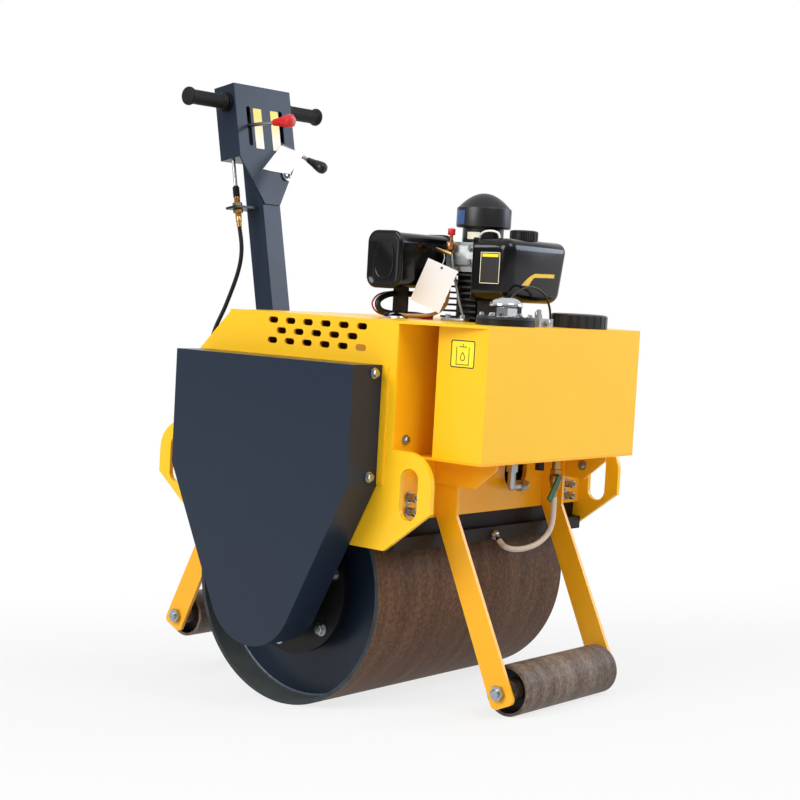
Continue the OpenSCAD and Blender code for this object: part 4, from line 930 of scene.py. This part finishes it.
# %% [markdown]
# On the head's right side stand small parts: a cast cover, and a copper union with a red dust cap. They are
# lathe pieces and a thin plate set against the casting, placed from the head's top and side.

# %% Cover and union on the head
UNION_X, UNION_Y = 151, -38
COVER_THICK = 7
head_low, head_high = drawn_box("cylinder_head")
head_side = head_low.y
head_top = head_high.z
cover = cut_sheet(rounded_outline(60, 40, 7), COVER_THICK, 2.5)
piece("head_cover", [put(cover, (171, head_side, head_top - 26), (0, -1, 0))], cast_alloy)
union = [put(turned([(4, 0), (9, 2), (10.5, 8), (9, 14), (4, 16)], 24), (UNION_X, UNION_Y, head_top - 18)),
         put(turned([(5, 0), (5, 22)], 16), (UNION_X, head_side + 2, head_top - 10), (0, -1, 0)),
         put(turned([(3.5, 0), (3.5, 16)], 16), (UNION_X, UNION_Y, head_top - 4))]
piece("copper_union", union, copper_fitting)
dust_cap = turned([(6.5, 0), (7.5, 1.5), (7.5, 11), (6.5, 13), (2, 13.6)], 24)
piece("red_dust_cap", [put(dust_cap, (UNION_X, UNION_Y, head_top + 12))], red_plastic)

# %% [markdown]
# A short brass lever sits on the union, and nuts hold the cover. The nuts stand on the cover's face, so their
# place follows its thickness.

# %% Lever and nuts on the head
arm = cut_sheet(rounded_outline(44, 8, 3.9), 3, 0.8)
piece("union_lever", [put(arm, (140, -46, head_top - 21), (0, -1, 0), -14)], turned_brass)
nut_y = head_side - COVER_THICK - GAP
nuts = [put(s, (x, nut_y, z), (0, -1, 0)) for x in (148, 194) for z in (head_top - 40, head_top - 12)
        for s in bolt(9, 4)]
nuts += [put(turned([(7, 0), (7, 8), (5, 9.5)], 6), (145.5, head_side, head_top - 18), (0, -1, 0))]
piece("head_nuts", nuts, zinc_plate)

# %% [markdown]
# At the deck the engine stands on a bright foot with two bolts, and a polished oval cover closes a hand hole
# beside the muffler. A white strap goes over the fuel tank's shoulder.

# %% Deck fittings
FOOT_X, FOOT_Y, FOOT_THICK = 178, -46, 6
OVAL_X, OVAL_Y, OVAL_SHARE = 84, -118, 0.62
foot = put(cut_sheet(rounded_outline(58, 22, 4), FOOT_THICK, 1.5), (FOOT_X, FOOT_Y, deck_top))
foot_bolts = [put(s, (x, FOOT_Y, deck_top + FOOT_THICK)) for x in (FOOT_X - 18, FOOT_X + 18)
              for s in bolt(10, 5)]
piece("engine_foot", [foot] + foot_bolts, zinc_plate)
oval_cover = turned([(26, 0), (26, 2), (23, 5), (15, 8.5), (6, 10), (1, 10.2)], 40)
oval_cover.transform(Matrix.Diagonal((1, OVAL_SHARE, 1, 1)))
piece("oval_cover", [put(oval_cover, (OVAL_X, OVAL_Y, deck_top))], chrome_plate)
strap_points = [(222, -40, 918), (228, -46, 924), (240, -50, 930), (254, -48, 932), (268, -44, 929),
                (272, -42, 919)]
piece("white_strap", [swept(smooth_route(strap_points, 6), 4, 10)], white_nylon)

# %% [markdown]
# ## Caps and fillers
# The fuel and water caps are moulded with ribs for the fingers. The lathe takes a rule that pushes the radius
# in and out around the turn, so the ribs are real shape. Each cap fills the box of the solid that it
# replaces.

# %% Ribbed caps
def ribs(count, depth, low, high, share=0.0):
    def radius(r, angle, z):
        return r - (depth if low < z < high and math.cos(count * angle) < share else 0)
    return radius

def cap_seat(box):
    return middle_of(box).x, middle_of(box).y, box[0].z

fuel_cap = drawn_box("fuel_cap")
r = middle_of(fuel_cap).x - fuel_cap[0].x
h = fuel_cap[1].z - fuel_cap[0].z
cap = turned([(r, 0), (r, 0.8), (r, 1), (r, h - 3.2), (r - 0.4, h - 3), (r - 2, h - 1), (r - 8, h),
              (r - 9, h - 1.4), (0.3, h - 1.4)], 144, ribs(36, 1.2, 0.9, h - 3.1))
piece("fuel_cap_knurled", [put(cap, cap_seat(fuel_cap))], black_abs, replaces=("fuel_cap",),
      crease=30)
water_cap = drawn_box("water_cap")
r = middle_of(water_cap).x - water_cap[0].x
h = water_cap[1].z - water_cap[0].z
water = turned([(r - 2, 0), (r, 0.6), (r, 1), (r, h - 4), (r - 0.6, h - 3.6), (r - 3, h - 1), (r - 10, h),
                (r - 13, h - 2), (0.3, h - 2)], 264, ribs(22, 1.8, 0.9, h - 3.8, -0.75))
# The water cap's grey plastic is painted reflection
piece("water_cap_ribbed", [put(water, cap_seat(water_cap))], sky_grey_abs,
      replaces=("water_cap",), crease=30)

# %% [markdown]
# The oil filler is a chromed mushroom on a six-sided neck: two turnings, one of them with only six sides. It
# stands on a black flange.

# %% Oil filler
NECK_H = 23
oil_flange = drawn_box("oil_flange")
oil_cap = drawn_box("oil_cap")
oil_x = middle_of(oil_flange).x
oil_y = middle_of(oil_flange).y
flange_top = oil_flange[1].z
r = middle_of(oil_cap).y - oil_cap[0].y
h = oil_cap[1].z - oil_cap[0].z
filler = turned([(r - 14, NECK_H), (r - 2, NECK_H + 0.4), (r, NECK_H + 2.4), (r, NECK_H + 5.5),
                 (r - 1.5, NECK_H + 8), (r - 5, NECK_H + 12), (r - 12, NECK_H + 16.5),
                 (r - 21, NECK_H + 19.2), (0.3, h)], 64)
neck = turned([(21, 0), (22, 1), (22, NECK_H - 1.4), (20.6, NECK_H)], 6)
piece("oil_filler_cap", [put(s, (oil_x, oil_y, flange_top), (0, 0, 1), 14) for s in (filler, neck)],
      chrome_plate, replaces=("oil_cap",), crease=35)

# %% [markdown]
# On the flange lies a dull steel ring with six small bolts, and the breather block beside it has three plugs.
# The bolts stand in a circle, so one is made and the loop sets the rest.

# %% Ring, bolts and plugs
RING_R, RING_H, RING_BOLTS_R = 54, 6, 45
ring = turned([(RING_R - 1, 0), (RING_R, 0.8), (RING_R, RING_H - 1), (RING_R - 1, RING_H)], 64)
piece("flange_ring", [put(ring, (oil_x, oil_y, flange_top))], cut_edge)
ring_bolts = []
for k in range(6):
    a = math.radians(30 + 60 * k)
    place = (oil_x + RING_BOLTS_R * math.cos(a), oil_y + RING_BOLTS_R * math.sin(a), flange_top + RING_H)
    ring_bolts += [put(s, place) for s in bolt(8, 4)]
block_front = drawn_box("breather")[1].x
block_top = drawn_box("breather")[1].z
block_bits = [put(turned([(7, 0), (7, 8), (5, 8), (5, 16), (3, 17)], 6), (366, -32, block_top)),
              put(turned([(5, 0), (5, 10), (3.5, 13)], 20), (350, -14, block_top)),
              put(turned([(6, 0), (6, 7), (4, 8)], 6), (block_front, -22, block_top - 8), (1, 0, 0))]
piece("tank_top_bolts", ring_bolts + block_bits, zinc_plate)

# %% [markdown]
# ## Tank plate and vents
# A small yellow plate on the tank's right side shows a generic tank with a drop in it. Its lines are thin
# raised strips, which stay sharp at any distance.

# %% Plate with a drop
SIGN_X, SIGN_Z = 361, 701

def strip(a, b, width):
    a, b = Vector(a), Vector(b)
    along = (b - a).normalized()
    side = Vector((-along.y, along.x)) * width / 2
    ends = along * width / 2
    corners = (a - ends - side, b + ends - side, b + ends + side, a - ends + side)
    return cut_sheet([tuple(p) for p in corners], 0.35)

def frame_lines(points, width):
    return [strip(a, b, width) for a, b in zip(points, points[1:] + points[:1])]

tank_side = drawn_box("tank")[0].y
lines = frame_lines(rounded_outline(52, 48, 4, 4), 2.0)
tank_lines = (((-14, 12), (-14, -19)), ((-14, -19), (14, -19)), ((14, -19), (14, 12)), ((-8, 13), (8, 13)),
              ((0, 13), (0, 18)))
lines += [strip(a, b, 1.3) for a, b in tank_lines]
half_drop = [(0, 3), (2.6, -1), (4.6, -5), (4.6, -8), (2.8, -11), (0, -12)]
drop = half_drop + [(-x, z) for x, z in reversed(half_drop[1:-1])]
lines += frame_lines(drop, 1.2)
sign = cut_sheet(rounded_outline(56, 52, 5), 0.5)
piece("plate_face", [put(sign, (SIGN_X, tank_side - 0.05, SIGN_Z), (0, -1, 0))], label_yellow)
piece("plate_lines", [put(s, (SIGN_X, tank_side - 0.5, SIGN_Z), (0, -1, 0)) for s in lines], label_black)

# %% [markdown]
# The hood's sides have rows of vent slots. The last place of the lowest row, where the flange behind shows
# through in shade, is a rounded patch of deeper yellow, a hair proud of the sheet: painted shade.

# %% Painted shade in the last vent
hood_side = drawn_box("hood_sides")[1].y + 0.05
shade_patches = [put(cut_sheet(rounded_outline(25, 12, 5.9), 0.4), (171.5, y, 700), (0, y, 0))
         for y in (-hood_side, hood_side)]
piece("vent_shade_patch", shade_patches, painted_shade_yellow)

# %% [markdown]
# ## Handle
# The grips are rubber sleeves with fine ribs along them and a flared end that keeps the hand on. The ribs
# come from the lathe's rule again.

# %% Grips
GRIP_START, GRIP_R, GRIP_RIBS, RIB_DEPTH = 97, 15.5, 26, 0.5
sleeve = [(12.4, 0), (18.6, 0.4), (19.4, 2), (19, 5), (16.6, 9), (GRIP_R, 12), (GRIP_R, 14), (GRIP_R, 88),
          (GRIP_R, 90), (16.2, 93), (18.4, 96), (19.5, 98.5), (19.5, 102), (18.6, 104), (15, 105), (0.3, 105)]
grips = []
for side in (-1, 1):
    grip = turned(sleeve, 104, ribs(GRIP_RIBS, RIB_DEPTH, 13, 89))
    grips.append(put(grip, (BAR_X, side * GRIP_START, BAR_Z), (0, side, 0)))
piece("ribbed_grips", grips, grip_rubber, "handle", HANDLE, ("grips",), 30)

# %% [markdown]
# The knobs are turned forms at the ends of the two levers: a tapered six-sided one in red, and a pear-shaped
# one in black. A lever comes out of the control box's front and slants down, so a knob's place is found by
# going along it. A ring of chrome and a black barrel make the key switch below.

# %% Knobs and switch
BOX_FRONT = 34
SWITCH_PLACE = (BOX_FRONT, 50, 581)

def six_sided(r, angle, z):
    flat = math.cos(math.pi / 6) / math.cos((angle % (math.pi / 3)) - math.pi / 6)
    return r * (0.45 + 0.55 * flat)

def on_lever(y, z, slant, reach):
    a = math.radians(slant)
    return (BOX_FRONT + reach * math.cos(a), y, z - reach * math.sin(a)), (math.cos(a), 0, -math.sin(a))

red = turned([(4.6, 0), (7.2, 0.6), (7.6, 3), (11, 22), (14.4, 41), (15, 46), (14, 51), (10.5, 54.6),
              (0.3, 56)], 60, six_sided)
piece("red_lever_knob", [put(red, *on_lever(-50, 682, 8, 73), 12)], red_plastic, "handle",
      HANDLE, ("red_knob",), 25)
pear = turned([(4.6, 0), (6, 0.8), (6.6, 5), (8.4, 18), (11.2, 31), (12.8, 41), (12.8, 46), (11.2, 51.5),
               (7.4, 55), (0.3, 56)], 40)
piece("black_lever_knob", [put(pear, *on_lever(50, 648, 34, 84))], black_abs, "handle",
      HANDLE, ("black_knob",))
switch = turned([(10.5, 0), (13, 0.2), (13.4, 2), (12.6, 4), (10.6, 4.4), (10, 3)], 40)
piece("switch_ring", [put(switch, SWITCH_PLACE, (1, 0, 0))], chrome_plate, "handle", HANDLE)
barrel = turned([(9.6, -30), (9.6, 2.6), (9, 3.4), (2.4, 3.4), (2.2, 1.4), (0.3, 1.4)], 32)
piece("switch_barrel", [put(barrel, SWITCH_PLACE, (1, 0, 0))], black_abs, "handle", HANDLE)

# %% [markdown]
# Beside each lever slot is a bare strip of vinyl, yellow above and faded to cream below. The fade follows the
# height in the object's own space, from the strip's middle upward.

# %% Strips beside the slots
STRIP_Z, FADE_LOW, FADE_HIGH = 677, 655, 700

def front_plate(width, height, y, z, thick=0.5):
    shape = cut_sheet(rounded_outline(width, height, 1.2, 3), thick)
    shape.transform(Matrix(((0, 0, 1, BOX_FRONT + 0.05), (1, 0, 0, y), (0, 1, 0, z), (0, 0, 0, 1))))
    return shape

fade = bpy.data.materials.new("sun-faded yellow vinyl")
fade.use_nodes = True
vinyl = fade.node_tree
vinyl.nodes.clear()
spot = add(vinyl, "ShaderNodeTexCoord").outputs["Object"]
rise = add(vinyl, "ShaderNodeSeparateXYZ", {0: spot}).outputs["Z"]
low, high = ((HANDLE @ Vector((BOX_FRONT, 0, z))).z for z in (FADE_LOW, FADE_HIGH))
share = add(vinyl, "ShaderNodeMapRange", {"Value": rise, "From Min": low, "From Max": high}).outputs[0]
tone = add(vinyl, "ShaderNodeMix", {0: share, 6: linear("#F8F5E6"), 7: linear("#F7E06A")}, data_type="RGBA")
film = add(vinyl, "ShaderNodeBsdfPrincipled", {"Base Color": tone.outputs[2], "Roughness": 0.4, "IOR": 1.5})
add(vinyl, "ShaderNodeOutputMaterial", {"Surface": film.outputs[0]})
strips = [front_plate(25, 88, y, STRIP_Z) for y in (-23, 30)]
piece("slot_strips", strips, fade, "handle", HANDLE)

# %% [markdown]
# A plain white card hangs at the engine and another on the lower lever, both blank board on a thin string.
# A hanging card is bowed a little, so it is a grid between its four corners, pushed out most in the middle,
# with a second grid behind it for the thickness.

# %% A bowed card
def card(corners, thick, bow, n=10):
    shape = bmesh.new()
    a, b, c, d = (Vector(p) for p in corners)
    normal = (b - a).cross(d - a).normalized()
    grid = []
    for layer in (0, 1):
        rows = []
        for i in range(n + 1):
            row = []
            for j in range(n + 1):
                u, v = i / n, j / n
                p = (a * (1 - u) + b * u) * (1 - v) + (d * (1 - u) + c * u) * v
                p += normal * (bow * 4 * u * (1 - u) + thick * layer)
                row.append(shape.verts.new(p))
            rows.append(row)
        grid.append(rows)
    for i in range(n):
        for j in range(n):
            for rows in grid:
                shape.faces.new((rows[i][j], rows[i + 1][j], rows[i + 1][j + 1], rows[i][j + 1]))
    low, high = grid
    for k in range(n):
        shape.faces.new((low[k][0], low[k + 1][0], high[k + 1][0], high[k][0]))
        shape.faces.new((low[k][n], low[k + 1][n], high[k + 1][n], high[k][n]))
        shape.faces.new((low[0][k], low[0][k + 1], high[0][k + 1], high[0][k]))
        shape.faces.new((low[n][k], low[n][k + 1], high[n][k + 1], high[n][k]))
    bmesh.ops.recalc_face_normals(shape, faces=shape.faces)
    return shape

print("card() is ready")

# %% [markdown]
# The engine's card has a small black disc at its string's hole: painted shade of the hole. The lever's card
# hangs from a loop around the lower lever and a short tie.

# %% Cards and strings
BOARD, BOW, STRING_D = 0.5, 1.5, 1.2
engine_card = card([(132, -83, 874.5), (178, -45, 852), (153, -66, 768), (108, -103, 792)], BOARD, BOW)
piece("engine_card", [engine_card], white_board)
hole_shade_disc = turned([(2.4, 0), (2.4, 0.7)], 16)
card_facing = (0.637, -0.771, 0)
# A black disc: painted shade of the string's hole
piece("card_hole_shade", [put(hole_shade_disc, (152.1, -64.6, 856.5), card_facing)], label_black)
string_points = [(150, -64, 860), (150, -58, 868), (146, -50, 880), (138, -47, 890)]
string = swept(smooth_route(string_points, 5), STRING_D, 6)
piece("engine_card_string", [string], white_nylon)
lever_card = card([(44, 34, 644), (102, 42, 615), (101, -9, 566), (40, -27, 587)], BOARD, BOW)
turns = [2 * math.pi * i / 24 for i in range(25)]
loop = swept([(96, 50 + 5 * math.cos(a), 606.2 + 5 * math.sin(a)) for a in turns], STRING_D, 6)
tie = swept([(97, 38, 610), (97, 42, 609), (96, 45, 606.2)], STRING_D, 6)
piece("lever_card", [lever_card], white_board, "handle", HANDLE)
piece("lever_card_string", [loop, tie], white_nylon, "handle", HANDLE)

# %% [markdown]
# Down the handle's right side hang the push rod, its ribbed rubber boot and the cable's brass fitting,
# screwed through a tab with a nut on each side. The thread is a saw-toothed profile on the lathe.

# %% Push rod and cable fitting
THREAD_Z, THREAD_PITCH, THREAD_TURNS = 486, 2.5, 17
BOOT_Z, FOLD_PITCH, BOOT_FOLDS = 529.4, 4.4, 5
NUT_R = 11
thread = []
for k in range(THREAD_TURNS):
    thread += [(6.2, THREAD_Z + THREAD_PITCH * k), (7, THREAD_Z + 1.2 + THREAD_PITCH * k)]
tail = [(4.8, 463.4), (5.6, 464), (5.6, 474), (6.6, 476), (6.6, 485)]
brass_shapes = [turned(tail + thread + [(6.4, 529.2)], 28)]
for z in (494, 508):
    nut = [(NUT_R - 1.2, z), (NUT_R, z + 1.2), (NUT_R, z + 7.8), (NUT_R - 1.2, z + 9)]
    brass_shapes.append(turned(nut, 6))
piece("brass_cable_fitting", [put(s, (0, ROD_Y, 0)) for s in brass_shapes], turned_brass, "handle",
      HANDLE, ("cable_fitting",), 25)
rod = turned([(4, BOOT_Z), (4, 611)], 24)
piece("bright_push_rod", [put(rod, (0, ROD_Y, 0))], zinc_plate, "handle", HANDLE, ("push_rod",))
boot = [(7.2, BOOT_Z)]
for k in range(BOOT_FOLDS):
    boot += [(8, BOOT_Z + 1.2 + FOLD_PITCH * k), (6.6, BOOT_Z + 3.4 + FOLD_PITCH * k)]
sleeve = turned(boot + [(5, BOOT_Z + 24)], 28)
piece("rubber_boot", [put(sleeve, (0, ROD_Y, 0))], grip_rubber, "handle", HANDLE, (), 60)

# %% [markdown]
# ## Tap
# The water tap is a small brass ball valve: a pipe from the tank, a hexagon, a round body, a second hexagon
# and a barbed tail that holds the hose. Each is a short turning on one axis, drawn from the tail's end up.

# %% Water tap
tap_box = drawn_box("water_tap")
valve = [turned([(8, 52), (8, 82)], 24),
         turned([(11.5, 44), (12.5, 45), (12.5, 53), (11.5, 54)], 6),
         turned([(9, 25), (11.6, 28), (12.4, 34.5), (11.6, 41), (9, 44)], 28),
         turned([(10, 17), (11, 18), (11, 25), (10, 26)], 6),
         turned([(3.4, 0), (3.5, 1), (4.6, 7), (3.6, 7.2), (4.6, 13), (3.6, 13.2), (4.2, 17)], 24)]
piece("brass_tap", [put(s, cap_seat(tap_box)) for s in valve], turned_brass, replaces=("water_tap",),
      crease=30)

# %% [markdown]
# ## Finish

# %% End
print("scene dressed")
